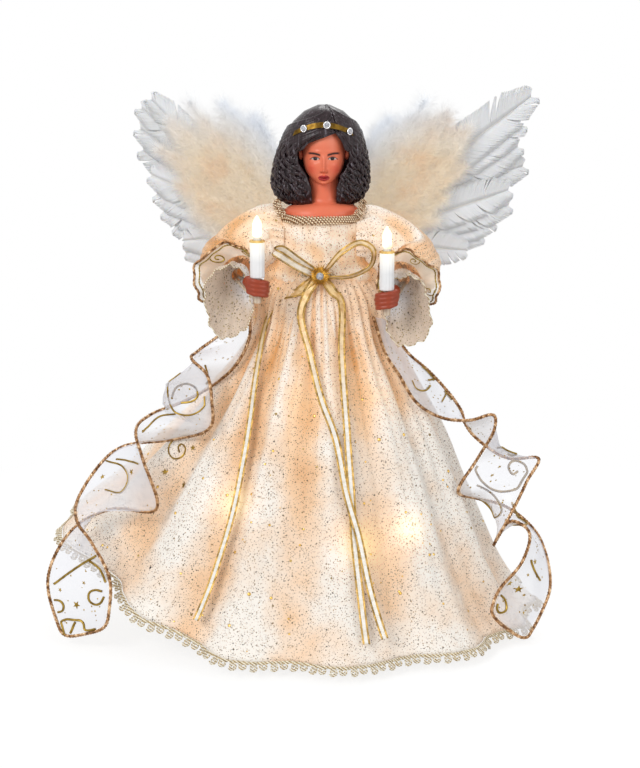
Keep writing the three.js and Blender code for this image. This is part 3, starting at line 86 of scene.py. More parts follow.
def add_node(tree, kind, inputs=None, **settings):
    made = tree.nodes.new(kind)
    for key, value in settings.items():
        setattr(made, key, value)
    for socket, value in (inputs or {}).items():
        if isinstance(value, bpy.types.NodeSocket):
            tree.links.new(value, made.inputs[socket])
        else:
            made.inputs[socket].default_value = value
    return made


def maths(tree, operation, *values):
    """A value worked out from others, each a number or a node's output."""
    return add_node(tree, "ShaderNodeMath", dict(enumerate(values)), operation=operation).outputs[0]


def ranged(tree, value, low, high, start=0.0, end=1.0):
    """A value that runs from low to high while another runs from start to end."""
    ends = {"Value": value, "From Min": start, "From Max": end, "To Min": low, "To Max": high}
    return add_node(tree, "ShaderNodeMapRange", ends).outputs[0]


def seen_directly(tree, room_level, seen_level):
    """The room's level for light, and another where the background itself is seen."""
    path = add_node(tree, "ShaderNodeLightPath").outputs
    glass = maths(tree, "MAXIMUM", path["Is Glossy Ray"], path["Is Transmission Ray"])
    return ranged(tree, maths(tree, "MAXIMUM", path["Is Camera Ray"], glass), room_level, seen_level)


room = bpy.data.worlds.new("room")
scene.world = room
room.use_nodes = True
room_tree = room.node_tree
room_tree.nodes["Background"].inputs["Color"].default_value = (1, 1, 1, 1)
room_tree.links.new(seen_directly(room_tree, 0.5, 1), room_tree.nodes["Background"].inputs["Strength"])


def floor_paint():
    paint = bpy.data.materials.new("floor_paint")
    paint.use_nodes = True
    tree = paint.node_tree
    tree.nodes.clear()
    matt = add_node(tree, "ShaderNodeBsdfDiffuse", {"Color": (0.3, 0.3, 0.3, 1)})
    glow = add_node(tree, "ShaderNodeEmission", {"Color": (1, 1, 1, 1), "Strength": seen_directly(tree, 0.25, 0.78)})
    both = add_node(tree, "ShaderNodeAddShader", {0: matt.outputs[0], 1: glow.outputs[0]})
    # Past the object's shadow the floor fades into the background.
    white = add_node(tree, "ShaderNodeEmission", {"Color": (1, 1, 1, 1), "Strength": seen_directly(tree, 0.5, 1)})
    place = add_node(tree, "ShaderNodeTexCoord").outputs["Object"]
    reach = add_node(tree, "ShaderNodeVectorMath", {0: place}, operation="LENGTH")
    far = ranged(tree, reach.outputs["Value"], 0.0, 1.0, 0.16, 0.42)
    surface = add_node(tree, "ShaderNodeMixShader", {0: far, 1: both.outputs[0], 2: white.outputs[0]})
    add_node(tree, "ShaderNodeOutputMaterial", {"Surface": surface.outputs[0]})
    return paint


def new_piece(name, points, faces, paint, smooth=True):
    """A mesh object at the origin, from points in millimetres."""
    faces = faces.tolist() if isinstance(faces, np.ndarray) else faces
    mesh = bpy.data.meshes.new(name)
    mesh.from_pydata((np.asarray(points, dtype=float) * mm).tolist(), [], faces)
    mesh.polygons.foreach_set("use_smooth", [smooth] * len(mesh.polygons))
    mesh.materials.append(paint)
    mesh.update()
    made = bpy.data.objects.new(name, mesh)
    scene.collection.objects.link(made)
    return made


floor_reach = 6000
floor = new_piece(
    "floor",
    [(x * floor_reach, y * floor_reach, 0) for x, y in ((-1, -1), (1, -1), (1, 1), (-1, 1))],
    [(0, 1, 2, 3)],
    floor_paint(),
)

# Cone, torso form and lamp string
# The angel stands on a hollow cone, moulded in off-white plastic, with an oval torso form on top. A thin
# beige lead runs inside it from holder to holder, with a push-in mini lamp in each of the eight. A
# bendable steel wire runs through the torso form and both arms.


def object_place(tree):
    return add_node(tree, "ShaderNodeTexCoord").outputs["Object"]


def grain(tree, scale, detail=3, place=None, stretch=(1, 1, 1)):
    """Noise of so many waves a metre; stretch sets the scale along each axis."""
    moved = add_node(tree, "ShaderNodeMapping", {"Vector": place or object_place(tree), "Scale": stretch})
    made = add_node(tree, "ShaderNodeTexNoise", {"Vector": moved.outputs[0], "Scale": scale, "Detail": detail})
    return made.outputs["Fac"]


def shades(tree, factor, *stops):
    """A colour ramp through (place, colour) stops."""
    ramp = add_node(tree, "ShaderNodeValToRGB", {"Fac": factor})
    points = ramp.color_ramp.elements
    while len(points) < len(stops):
        points.new(0.5)
    for point, (place, colour) in zip(points, stops):
        point.position = place
        point.color = (*colour, 1)
    return ramp.outputs["Color"]


def threads(tree, scale, way="X", place=None, wander=0.0):
    """Even bands, as of thread or twist, across one way; wander bends them."""
    sizes = {"Vector": place or object_place(tree), "Scale": scale, "Distortion": wander}
    return add_node(tree, "ShaderNodeTexWave", sizes, bands_direction=way).outputs["Fac"]


def relief(tree, height, depth):
    """Bump of a depth in millimetres where the height runs from 0 to 1."""
    bump = add_node(tree, "ShaderNodeBump", {"Height": height, "Strength": 1, "Distance": depth * mm})
    tree.links.new(bump.outputs[0], tree.nodes["Principled BSDF"].inputs["Normal"])


def principled(name, **sockets):
    """A Principled material, with the values of its sockets by name, and _ for a space."""
    paint = bpy.data.materials.new(name)
    paint.use_nodes = True
    shader = paint.node_tree.nodes["Principled BSDF"]
    for socket, value in sockets.items():
        value = (*value, 1) if isinstance(value, tuple) else value
        shader.inputs[socket.replace("_", " ")].default_value = value
    return paint, paint.node_tree


def colour_in(tree, output, socket="Base Color"):
    tree.links.new(output, tree.nodes["Principled BSDF"].inputs[socket])


def tinted(tree, factor, *stops):
    """Colours a material in along (place, colour) stops."""
    colour_in(tree, shades(tree, factor, *stops))


def moulded(name, pale, dark, roughness):
    """Injection-moulded plastic: faint flow clouds and a fine matt skin."""
    paint, tree = principled(name, Roughness=roughness, IOR=1.5)
    tinted(tree, grain(tree, 60), (0.3, dark), (0.7, pale))
    relief(tree, grain(tree, 2600, 2), 0.03)
    return paint


def dress(paint, *nodes):
    for node in nodes:
        for place in bpy.data.objects[node].material_slots:
            place.material = paint


def ridden(piece, slot, *nodes, body="figure"):
    """Rides a finished piece on its body and hides the solids it stands for. Its slot is not used."""
    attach(piece, body)
    if nodes:
        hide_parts(*nodes)
    return piece


def lamp_glass(name, strength):
    """A lit warm mini lamp: amber towards its seat, nearly white round the filament."""
    paint, tree = principled(name, Roughness=0.08, IOR=1.5, Base_Color=(1, 0.86, 0.6), Emission_Strength=strength)
    glow = shades(tree, grain(tree, 250, 1), (0.3, (1, 0.62, 0.26)), (0.62, (1, 0.84, 0.55)))
    colour_in(tree, glow, "Emission Color")
    paint.cycles.emission_sampling = "NONE"
    return paint


cone_height, cone_foot_radius, cone_top_radius = 192, 60, 15
dress(moulded("cone_plastic", (0.82, 0.81, 0.77), (0.72, 0.71, 0.66), 0.42), "base_cone", "torso_form")
lead_paint, lead_tree = principled("lead_plastic", Roughness=0.3, IOR=1.48)
tinted(lead_tree, threads(lead_tree, 160), (0, (0.6, 0.47, 0.34)), (1, (0.74, 0.62, 0.48)))
dress(lead_paint, "light_string")
# Each of the cone's lamps: its azimuth in degrees and its height.
cone_lamps = [(226 + 72 * i, 60) for i in range(5)] + [(262 + 120 * i, 122) for i in range(3)]
dress(lamp_glass("cone_lamp_glass", 3), *(f"lamp_bulb_{i + 1}" for i in range(len(cone_lamps))))
arm_steel, arm_tree = principled("arm_steel", Metallic=1.0, Roughness=0.35)
tinted(arm_tree, grain(arm_tree, 900), (0.3, (0.42, 0.41, 0.4)), (0.7, (0.6, 0.59, 0.57)))
dress(arm_steel, "arm_wire")

# Bust
# One casting: head, neck and shoulder plate, painted a warm brown with a satin varnish. The brows,
# eyes and lips are painted on by hand, and the cheeks are rouged.


def lerp(a, b, t):
    return a + (b - a) * t


def ease(t):
    t = np.clip(t, 0, 1)
    return t * t * (3 - 2 * t)


def round_angles(count):
    """Angles spaced evenly round a circle."""
    return np.linspace(0, full_turn, count, endpoint=False)


def grid_faces(rows, columns, closed):
    """The quads between rows of points, where rows run down and columns counterclockwise from above."""
    i, j = np.meshgrid(np.arange(rows - 1), np.arange(columns if closed else columns - 1), indexing="ij")
    k = (j + 1) % columns
    return np.stack([i * columns + j, (i + 1) * columns + j, (i + 1) * columns + k, i * columns + k], -1).reshape(-1, 4)


def capped(faces, rows, columns):
    """A closed grid's faces with a lid on its first and last rows."""
    lids = [list(range(columns)), list(range((rows - 1) * columns, rows * columns))[::-1]]
    return [*faces.tolist(), *lids]


def tube_faces(rows, columns):
    """The faces between closed rings of points, with a lid on the first ring and the last."""
    return capped(grid_faces(rows, columns, True), rows, columns)


def joined_shells(*shells):
    """Several (points, faces) as one."""
    points, faces, start = [], [], 0
    for some_points, some_faces in shells:
        points.append(np.asarray(some_points, float).reshape(-1, 3))
        faces += [[start + corner for corner in face] for face in some_faces]
        start += len(points[-1])
    return np.concatenate(points), faces


def painted(piece, name, values):
    """A value or a colour for each point of a piece, which its material reads by name."""
    values = np.asarray(values, dtype=np.float32)
    kind, key = ("FLOAT", "value") if values.ndim == 1 else ("FLOAT_COLOR", "color")
    if values.ndim == 2:
        values = np.concatenate([values, np.ones((len(values), 1), np.float32)], 1)
    piece.data.attributes.new(name, kind, "POINT").data.foreach_set(key, values.ravel())


def read_paint(tree, name):
    return add_node(tree, "ShaderNodeAttribute", attribute_name=name)


head_across, head_ahead, chin_height, head_height = 2.2, -3.5, 260, 39
head_half_width, head_half_depth, nose_length = 12.2, 14, 3.2
head_sections = np.array([
    [0, 0.16, 0.5, 0.1], [0.03, 0.42, 0.74, 0.24], [0.1, 0.66, 0.86, 0.42], [0.2, 0.86, 0.9, 0.62],
    [0.32, 0.97, 0.91, 0.8], [0.45, 1, 0.9, 0.93], [0.6, 1, 0.9, 1], [0.74, 0.94, 0.84, 1],
    [0.86, 0.78, 0.68, 0.86], [0.95, 0.5, 0.42, 0.56], [0.99, 0.22, 0.18, 0.24],
])  # fmt: skip
# Each row: where across and up, how far it spreads across and up, how far it stands out. What lies
# beside the middle is there twice, once on each side.
face_forms = [(side * x, *form) for x, *form in (
    (0, 0.226, 0.1, 0.03, 0.85), (0, 0.3, 0.095, 0.07, 0.5), (0, 0.39, 0.1, 0.05, 0.22),
    (0.12, 0.214, 0.06, 0.018, 0.34), (0, 0.138, 0.17, 0.017, 0.45), (0, 0.094, 0.14, 0.019, 0.48),
    (0, 0.116, 0.2, 0.005, -0.26), (0.05, 0.168, 0.025, 0.018, 0.08), (0, 0.066, 0.14, 0.014, -0.12),
    (0, 0.03, 0.24, 0.03, 0.3), (0.37, 0.4, 0.19, 0.042, -0.42), (0.37, 0.398, 0.12, 0.022, 0.36),
    (0.37, 0.43, 0.16, 0.007, 0.14), (0.36, 0.5, 0.24, 0.02, 0.16), (0.56, 0.29, 0.24, 0.06, 0.22),
) for side in ((1, -1) if x else (1,))]  # fmt: skip


def rounded_rows(table, t):
    """A smooth curve through a table's rows, for t from 0 to 1."""
    last = len(table) - 1
    at = np.clip(t, 0, 1) * last
    i = np.minimum(at.astype(int), last - 1)
    w = (at - i)[..., None]
    before, after = table[np.maximum(i - 1, 0)], table[np.minimum(i + 2, last)]
    a, b = table[i], table[i + 1]
    return a + 0.5 * w * (b - before + w * (2 * before - 5 * a + 4 * b - after + w * (3 * (a - b) + after - before)))


def near(across, up, x, z, spread_x, spread_z, power=2):
    """1 at a spot of the face, falling off round it."""
    return np.exp(-(np.abs((across - x) / spread_x) ** power) - np.abs((up - z) / spread_z) ** power)


def head_shell():
    columns, rows = 250, 200
    s = np.linspace(-1, 1, columns, endpoint=False)
    a = -math.pi / 2 + math.pi * s * (0.55 + 0.45 * s * s)
    t = np.linspace(1, 0, rows)[:, None]
    up, wide, front, behind = (v for v in np.moveaxis(rounded_rows(head_sections, t), -1, 0))
    across = np.cos(a) * wide
    ahead = np.sin(a) * np.ones_like(t)
    push = sum(h * near(across, up, x, z, sx, sz) for x, z, sx, sz, h in face_forms) * nose_length
    push = np.where(ahead < 0, push * np.minimum(1, -ahead * 3), 0)
    depth = np.where(ahead < 0, front, behind)
    x = head_across + across * head_half_width
    y = head_ahead + ahead * depth * head_half_depth - push
    z = chin_height + up * head_height + 0 * a
    facing = np.where(ahead < 0, 1.0, 0.0)
    return np.stack([x, y, z], -1).reshape(-1, 3), tube_faces(rows, columns), (
        across.ravel(), (up + 0 * a).ravel(), facing.ravel())  # fmt: skip


skin_tone = np.array([0.84, 0.2, 0.105])


def face_colours(across, up, facing):
    """The painted face: rouge, lips, eye whites, irises, lash lines and brows over the skin's colour."""
    colour = np.tile(skin_tone, (len(across), 1))

    def stroke(tone, amount):
        amount = (np.clip(amount, 0, 1) * facing)[:, None]
        colour[:] = colour * (1 - amount) + np.array(tone) * amount

    # Rouge on the cheeks, a lighter forehead, and shadow in the lids' creases and under the nose.
    side = np.abs(across)
    stroke((0.9, 0.1, 0.06), 0.5 * near(side, up, 0.6, 0.24, 0.24, 0.08))
    stroke((0.92, 0.32, 0.2), 0.35 * near(across, up, 0.05, 0.65, 0.5, 0.12))
    stroke((0.4, 0.08, 0.04), 0.55 * near(side, up, 0.37, 0.435, 0.2, 0.012))
    stroke((0.3, 0.05, 0.03), 0.6 * near(side, up, 0.12, 0.2, 0.05, 0.008))
    # Red lips, with a dark line where they meet.
    lip_bow = 0.136 - 0.006 * np.cos(side * 24) * (side < 0.13) - 0.045 * side
    inside_mouth = (side < 0.28 - 1.0 * np.abs(up - 0.114) * 2.4) & (up < lip_bow + 0.022) & (up > 0.068 + 0.1 * side)
    stroke((0.42, 0.02, 0.028), inside_mouth * 0.95)
    stroke((0.16, 0.01, 0.01), 0.9 * near(across, up, 0, 0.1165 - 0.01 * np.cos(across * 9), 0.18, 0.0045, 4))
    # Eyes: an almond between two arcs, half closed by the upper lid.
    along = (side - 0.4) / 0.19
    top = 0.397 + 0.019 * (1 - along**2)
    foot = 0.392 - 0.019 * (1 - along**2)
    open_eye = (np.abs(along) < 1) & (up < top) & (up > foot)
    stroke((0.7, 0.62, 0.56), open_eye * 1.0)
    iris = ((side - 0.4) / 0.1) ** 2 + ((up - 0.396) / 0.027) ** 2
    stroke((0.008, 0.003, 0.002), (iris < 1) & (up < top + 0.006) & (up > foot - 0.005))
    lash = np.exp(-(((up - top) / 0.0085) ** 2)) * (along > -1.1) * (along < 1.4)
    stroke((0.03, 0.012, 0.01), lash)
    stroke((0.12, 0.03, 0.02), 0.7 * np.exp(-(((up - foot) / 0.0025) ** 2)) * (np.abs(along) < 0.95))
    # Brows: a rising arch that thins out at its ends.
    arch = 0.446 + 0.026 * np.sin(np.clip((side - 0.15) / 0.6, 0, 1) * 2.25)
    body = ease((side - 0.14) / 0.06) * ease((0.8 - side) / 0.16)
    stroke((0.012, 0.004, 0.003), np.exp(-(((up - arch) / 0.0165) ** 4)) * body)
    return colour


def neck_shell():
    """The shoulder plate narrows to the neck, which runs up into the head."""
    plate_half_width, plate_half_depth, plate_foot, plate_rise = 21.9, 16.4, 234, 15
    neck_half_width, neck_half_depth, neck_top, neck_foot = 8.8, 8.4, 270, 250
    plate = np.array([
        [0, 1, 1], [0.35, 1, 0.97], [0.62, 0.98, 0.9], [0.8, 0.93, 0.81], [0.92, 0.78, 0.72], [1, 0.46, 0.63],
    ])  # fmt: skip
    columns = 96
    a = round_angles(columns)
    sizes = []
    for row, z in enumerate(np.linspace(neck_top, neck_foot, 10)):
        wide = neck_half_width + 0.2 * math.cos(row * 9)
        sizes.append((wide, neck_half_depth, z, head_across, head_ahead / 4))
    for up, wide, deep in rounded_rows(plate, np.linspace(1, 0, 26)):
        wide, deep, z, lean = wide * plate_half_width, deep * plate_half_depth, plate_foot + up * plate_rise, up**3
        sizes.append((wide, deep, z, lean * head_across, lean * head_ahead / 4))
    rings = []
    for wide, deep, z, x, y in sizes:
        collar = 0.5 * np.exp(-(((np.abs(np.cos(a)) - 0.5) / 0.35) ** 2) - ((z - 245) / 2.4) ** 2) * (np.sin(a) < 0)
        rings.append(np.stack([x + np.cos(a) * wide, y + np.sin(a) * deep - collar, np.full(columns, z)], -1))
    return np.concatenate(rings), tube_faces(len(rings), columns)


def ear_shell(side):
    """An ear: a flat oval with a raised rim, a lobe and a hollow."""
    ear_half_depth, ear_half_height, ear_half_thickness = 2.5, 3.75, 1.3
    columns, rows = 40, 22
    a = round_angles(columns)
    centre = np.array([head_across + side * (head_half_width + 1.1), head_ahead + 0.9, 277.6])
    rings = []
    for lat in np.linspace(math.pi / 2, -math.pi / 2, rows):
        out = np.sin(lat)
        reach = np.cos(lat)
        rim = 0.45 * np.exp(-(((reach - 0.84) / 0.13) ** 2)) - 0.5 * np.exp(-(((reach - 0.35) / 0.3) ** 2))
        y = np.cos(a) * reach * ear_half_depth * (1 - 0.2 * np.sin(a))
        z = np.sin(a) * reach * ear_half_height
        x = side * (out * ear_half_thickness + (rim if out > 0 else 0))
        rings.append(centre + np.stack([np.full(columns, x) + side * 0.25 * np.sin(a), y, z], -1))
    faces = grid_faces(rows, columns, True)
    return np.concatenate(rings), capped(faces if side > 0 else faces[:, ::-1], rows, columns)


head_points, head_faces, (face_across, face_up, face_front) = head_shell()
neck_points, neck_faces = neck_shell()
ears = [ear_shell(-1), ear_shell(1)]
bust_points, bust_faces = joined_shells((head_points, head_faces), (neck_points, neck_faces), *ears)
skin_paint, skin_tree = principled(
    "bust_skin", Roughness=0.36, Specular_IOR_Level=0.3, Coat_Weight=0.08, Coat_Roughness=0.25
)
skin_mix = add_node(skin_tree, "ShaderNodeMix", {"Factor": 0.5}, data_type="RGBA", blend_type="OVERLAY")
skin_tree.links.new(read_paint(skin_tree, "skin").outputs["Color"], skin_mix.inputs["A"])
skin_tree.links.new(
    shades(skin_tree, grain(skin_tree, 180), (0.3, (0.44, 0.44, 0.44)), (0.7, (0.56, 0.56, 0.56))),
    skin_mix.inputs["B"],
)
colour_in(skin_tree, skin_mix.outputs["Result"])
relief(skin_tree, grain(skin_tree, 3000, 2), 0.02)
bust = new_piece("bust_casting", bust_points, bust_faces, skin_paint)
bust_tones = np.tile(skin_tone, (len(bust_points), 1))
bust_tones[: len(head_points)] = face_colours(face_across, face_up, face_front)
painted(bust, "skin", bust_tones)
ridden(bust, "skin_paint", "head_bust")

# Hair
# A separate black casting over the head, parted on the right: smooth over the crown, and crimped in
# loose ringlets below the ears. Its locks lie side by side over the solid core.
hair_bottom, hair_top, hair_half_width, hair_half_depth, hair_back = 248, 305, 28, 19.5, 3.5
hair_sections = np.array([
    [0, 0.74, 0.62], [0.05, 0.88, 0.78], [0.2, 1, 0.92], [0.4, 0.96, 0.97], [0.58, 0.88, 1],
    [0.72, 0.79, 0.97], [0.84, 0.64, 0.84], [0.94, 0.42, 0.58], [1, 0.14, 0.2],
])  # fmt: skip
# The edges of the face opening from the parting down, as places across and up.
left_edge = [
    (9, 291.5), (2, 290.5), (-4, 288), (-9.5, 284.8), (-13.4, 281), (-15.4, 274), (-13.4, 269.5),
    (-10, 265), (-8.5, 259), (-8.5, 253), (-10, 247),
]  # fmt: skip
right_edge = [
    (10, 291.5), (14, 288.5), (16.6, 284), (18.6, 280), (19, 274), (16.6, 269), (13.2, 264),
    (11.3, 256), (12, 250), (13.5, 246),
]  # fmt: skip


def hair_point(azimuth, up, off):
    """A point off the hair's outer face."""
    a = np.radians(azimuth)
    wide = np.interp(up, hair_sections[:, 0], hair_sections[:, 1]) * hair_half_width
    deep = np.interp(up, hair_sections[:, 0], hair_sections[:, 2]) * hair_half_depth
    x = head_across * ease(up) + np.cos(a) * (wide + off)
    y = hair_back + head_ahead * ease(up) + np.sin(a) * (deep + off)
    top = np.clip(up, None, 1)
    return np.stack([x, y, lerp(hair_bottom, hair_top, top) + off * np.clip((up - 0.8) * 4, 0, 1)], -1)


def on_hair(edge):
    """Places across and up on the hair's front, as azimuth in degrees and height up the hair."""
    x, z = np.array(edge, dtype=float).T
    up = (z - hair_bottom) / (hair_top - hair_bottom)
    wide = np.interp(up, hair_sections[:, 0], hair_sections[:, 1]) * hair_half_width
    turn = np.degrees(np.arccos(np.clip((x - head_across * ease(up)) / wide, -1, 1)))
    return np.stack([360 - turn, up], -1)


def unit(v):
    return v / np.maximum(np.linalg.norm(v, axis=-1, keepdims=True), 1e-9)


def carried(path, closed=False, towards=None):
    """Unit vectors along and across a path, carried along it without twist, or across towards a way."""
    along = unit(np.roll(path, -1, 0) - np.roll(path, 1, 0)) if closed else unit(np.gradient(path, axis=0))
    if towards is not None:
        return along, unit(towards - along * np.sum(towards * along, -1, keepdims=True))
    start = np.cross(along[0], (0.3, 0.2, 1))
    across = [start / np.linalg.norm(start)]
    for way in along[1:]:
        turned = across[-1] - way * np.dot(across[-1], way)
        across.append(turned / np.linalg.norm(turned))
    return along, np.array(across)


def strand(path, radius, sides=6, flat=1, closed=False, towards=None):
    """A round or flattened strand along a path, capped at its ends. flat is its height over its width."""
    path = np.asarray(path, float)
    along, across = carried(path, closed, towards)
    lift = np.cross(across, along)
    a = round_angles(sides)
    radius = np.broadcast_to(radius, len(path))[:, None, None]
    ring = across[:, None] * np.cos(a)[None, :, None] + lift[:, None] * np.sin(a)[None, :, None] * flat
    points = (path[:, None] + ring * radius).reshape(-1, 3)
    if closed:
        faces = grid_faces(len(path) + 1, sides, True) % len(points)
        return points, faces.tolist()
    return points, tube_faces(len(path), sides)


def path_run(path):
    """How far along a path each of its points is."""
    return np.concatenate([[0], np.cumsum(np.linalg.norm(np.diff(path, axis=0), axis=1))])


def lock(path_azimuth, path_up, spread, off, rng):
    """One lock of hair: it swells in the middle and crimps more the lower it hangs."""
    steps = 54
    t = np.linspace(0, 1, steps)
    at = np.linspace(0, 1, len(path_up))
    azimuth, up = np.interp(t, at, path_azimuth), np.interp(t, at, path_up)
    kernel = np.ones(5) / 5
    azimuth[2:-2] = np.convolve(azimuth, kernel, "valid")
    up[2:-2] = np.convolve(up, kernel, "valid")
    crimp = ease((0.78 - up) / 0.45)
    phase, pitch = rng.uniform(0, full_turn), rng.uniform(4.4, 7.5)
    run = path_run(hair_point(azimuth, up, 0))
    swing = np.sin(run / pitch * full_turn + phase)
    azimuth = azimuth + spread * ease(t * 3) + crimp * swing * 3.3 * rng.uniform(0.6, 1.3)
    bulge = crimp * np.cos(run / pitch * full_turn + phase) * 0.8
    path = hair_point(azimuth, up, off + bulge - 1.6 * ease((0.1 - up) / 0.1))
    width = rng.uniform(1.05, 1.5) * np.clip(np.sin(np.pi * np.clip(t, 0.03, 0.985)) ** 0.35, 0.2, 1)
    outward = path - np.stack([np.full(steps, head_across), np.full(steps, 0.0), path[:, 2] - 2], -1)
    along, lift = carried(path, towards=outward)
    return strand(path, width, 6, 0.62, towards=np.cross(lift, along))


def hair_locks():
    rng = np.random.default_rng(11)
    locks = []
    left_part, right_part = on_hair(left_edge), on_hair(right_edge)
    for part, back_azimuth, count in ((left_part, 90, 36), (right_part, 450, 32)):
        along = np.linspace(0, 1, len(part))
        for layer, off in enumerate((-0.75, 0.1)):
            for k in (np.arange(count) + 0.5 * layer) / count:
                # A lock leaves the parting, which runs back over the crown, and swings round its side.
                swung = lerp(part[:, 0], back_azimuth, k)
                azimuth = lerp(part[0, 0], swung, lerp(1, ease(along * 2.4), min(1, k * 8)))
                up = lerp(part[:, 1], 1 - along, min(1, k / 0.42))
                locks.append(lock(azimuth, up, rng.uniform(-1.5, 1.5), off + rng.uniform(-0.25, 0.25), rng))
    # More locks behind the edge of the opening, down both sides of the face.
    for part, side in ((left_part, -1), (right_part, 1)):
        for depth in (1.8, 4.2, 6.6, 9.0, 11.5):
            points, faces = lock(part[:, 0], part[:, 1] - 0.01, 0, -0.4, rng)
            shift = np.zeros(3)
            shift[:2] = side * 0.1 * depth, depth
            low = ease((288 - points[:, 2:3]) / 6)
            locks.append((points + shift * low, faces))
    return locks


def merged_copy(node):
    """A CAD node's mesh as points and faces with its doubles joined, in millimetres."""
    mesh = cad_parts[node].data
    points = np.empty(len(mesh.vertices) * 3)
    mesh.vertices.foreach_get("co", points)
    points = points.reshape(-1, 3) / mm
    _, first, where = np.unique(np.round(points, 3), axis=0, return_index=True, return_inverse=True)
    faces = [[int(where.ravel()[v]) for v in face.vertices] for face in mesh.polygons]
    return points[first], [face for face in faces if len(set(face)) == len(face)]


core_points, core_faces = merged_copy("hair")
core_middle = np.array([head_across, hair_back, 0])
core_points[:, :2] -= 0.5 * unit((core_points - core_middle)[:, :2])
hair_paint, hair_tree = principled("hair_enamel", Roughness=0.16, Specular_IOR_Level=0.34)
# The streaks run the hair's colour from black to brown, and their lightest stop is a painted highlight.
hair_streaks = grain(hair_tree, 700, 3, stretch=(1, 1, 0.12))
hair_black, hair_brown, hair_shine = (0.009, 0.004, 0.005), (0.035, 0.018, 0.022), (0.15, 0.135, 0.16)
tinted(hair_tree, hair_streaks, (0.3, hair_black), (0.6, hair_brown), (0.74, hair_shine))
relief(hair_tree, hair_streaks, 0.3)
hair = new_piece("hair_casting", *joined_shells((core_points, core_faces), *hair_locks()), hair_paint)
ridden(hair, "hair_paint", "hair")

# Headband
# A flat gilt band, bent to the hair and glued on above the face. Three clear cut stones sit on it in
# silvered settings with beaded rims. The brooch has a stone of the same kind.


def gilt(name, bright, deep, roughness, scale=700, depth=0.03):
    """Gilded metal with a worn, cloudy tone and fine scratches."""
    paint, tree = principled(name, Metallic=1.0, Roughness=roughness)
    tinted(tree, grain(tree, scale * 0.4), (0.32, deep), (0.66, bright))
    relief(tree, grain(tree, scale * 3, 2, stretch=(1, 1, 0.2)), depth)
    return paint


dress(gilt("headband_gilt", (0.21, 0.12, 0.02), (0.06, 0.03, 0.006), 0.36), "headband")
stone_paint, stone_tree = principled("clear_stone", Roughness=0.03, IOR=2.1, Transmission_Weight=0.55)
# A grey-blue tint, with white clouds that are painted glints.
tinted(stone_tree, grain(stone_tree, 1500, 1), (0.35, (0.3, 0.33, 0.46)), (0.6, (0.96, 0.97, 1)))
head_gems = ["headband_gem_left", "headband_gem_centre", "headband_gem_right"]
dress(stone_paint, *head_gems, "brooch_gem")
silvered, silver_tree = principled("silvered_setting", Metallic=1.0, Roughness=0.22)
tinted(silver_tree, grain(silver_tree, 1600), (0.3, (0.7, 0.7, 0.72)), (0.7, (0.95, 0.95, 0.96)))


def node_corners(node):
    """A CAD node's lowest and highest corner, in millimetres."""
    return (np.array(corner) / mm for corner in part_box(node))


def setting(node):
    """A beaded ring round a stone, square to the line from the hair's middle."""
    ring_radius, wire_radius, bead, beads = 1.75, 0.36, 0.08, 10
    low, high = node_corners(node)
    middle = (low + high) / 2
    out = unit(middle - np.array([head_across, 0, middle[2]]))
    across = unit(np.cross(out, (0, 0, 1)))
    a = round_angles(40)[:, None]
    ring = middle - out * 0.2 + (across * np.cos(a) + np.array([0, 0, 1]) * np.sin(a)) * ring_radius
    return strand(ring, wire_radius + bead * np.cos(a[:, 0] * beads), 8, closed=True)


settings = new_piece("headband_settings", *joined_shells(*(setting(gem) for gem in head_gems)), silvered)
ridden(settings, "gold_metal")

# Hands
# Two cast fists, in the bust's paint but a much darker brown, each closed round a candle: four fingers
# lie across the front, the thumb over them, and the wrist runs back into the sleeve.
fists = {"left": (-1, np.array([-35, -48, 206.5])), "right": (1, np.array([37.4, -48, 199.5]))}
elbows = {"left": np.array([-53, -13, 212]), "right": np.array([53, -13, 212])}


def ball(centre, reach, columns=28, rows=18):
    a = round_angles(columns)
    lat = np.linspace(math.pi / 2 * 0.98, -math.pi / 2 * 0.98, rows)[:, None]
    points = np.stack([np.cos(a) * np.cos(lat), np.sin(a) * np.cos(lat), np.sin(lat) + 0 * a], -1)
    return (centre + points * np.array(reach)).reshape(-1, 3), tube_faces(rows, columns)


def fist(hand):
    first_finger, finger_pitch, finger_radius, palm_reach = 3.6, 2.4, 1.5, (6.5, 5.5, 5.2)
    side, centre = fists[hand]
    back = unit(elbows[hand] - centre)
    shells = [ball(centre + (0.2 * side, 0.6, 0), palm_reach)]
    for k in range(4):
        up = first_finger - finger_pitch * k
        turn = np.radians(np.linspace(-172, 24, 22) if side < 0 else np.linspace(-8, -204, 22))
        reach = 6.0 - 0.35 * abs(k - 1.3)
        droop = np.linspace(1.5, -1.5, len(turn))
        path = centre + np.stack([np.cos(turn) * reach, np.sin(turn) * 5.0, up + droop], -1)
        knuckle = finger_radius + 0.14 * np.cos(np.linspace(0, 3 * full_turn, len(turn)))
        shells.append(strand(path, knuckle * (1 - 0.07 * k), 10))
    # The thumb comes round from the outer side, rises over the fingers and thins towards its tip.
    turn = np.radians(np.linspace(10, -75, 14) if side > 0 else np.linspace(170, 255, 14))
    path = centre + np.stack([np.cos(turn) * 5.7, np.sin(turn) * 5.3, np.linspace(1.2, 4.6, 14)], -1)
    shells.append(strand(path, np.linspace(1.7, 1.1, 14), 10))
    wrist = centre + back * np.linspace(2, 13, 12)[:, None]
    shells.append(strand(wrist, np.linspace(4.1, 3.5, 12), 20))
    made = new_piece(f"{hand}_fist", *joined_shells(*shells), skin_paint)
    # The fingers, palm and wrist run into one casting with soft creases.
    welded = made.modifiers.new("weld", "REMESH")
    welded.mode, welded.voxel_size, welded.use_smooth_shade = "VOXEL", 0.34 * mm, True
    smoothed = made.modifiers.new("smooth", "SMOOTH")
    smoothed.factor, smoothed.iterations = 0.5, 17
    return made


def settled(piece):
    """Turns a piece with modifiers into a plain mesh."""
    graph = bpy.context.evaluated_depsgraph_get()
    mesh = bpy.data.meshes.new_from_object(piece.evaluated_get(graph))
    piece.modifiers.clear()
    piece.data = mesh
    return piece


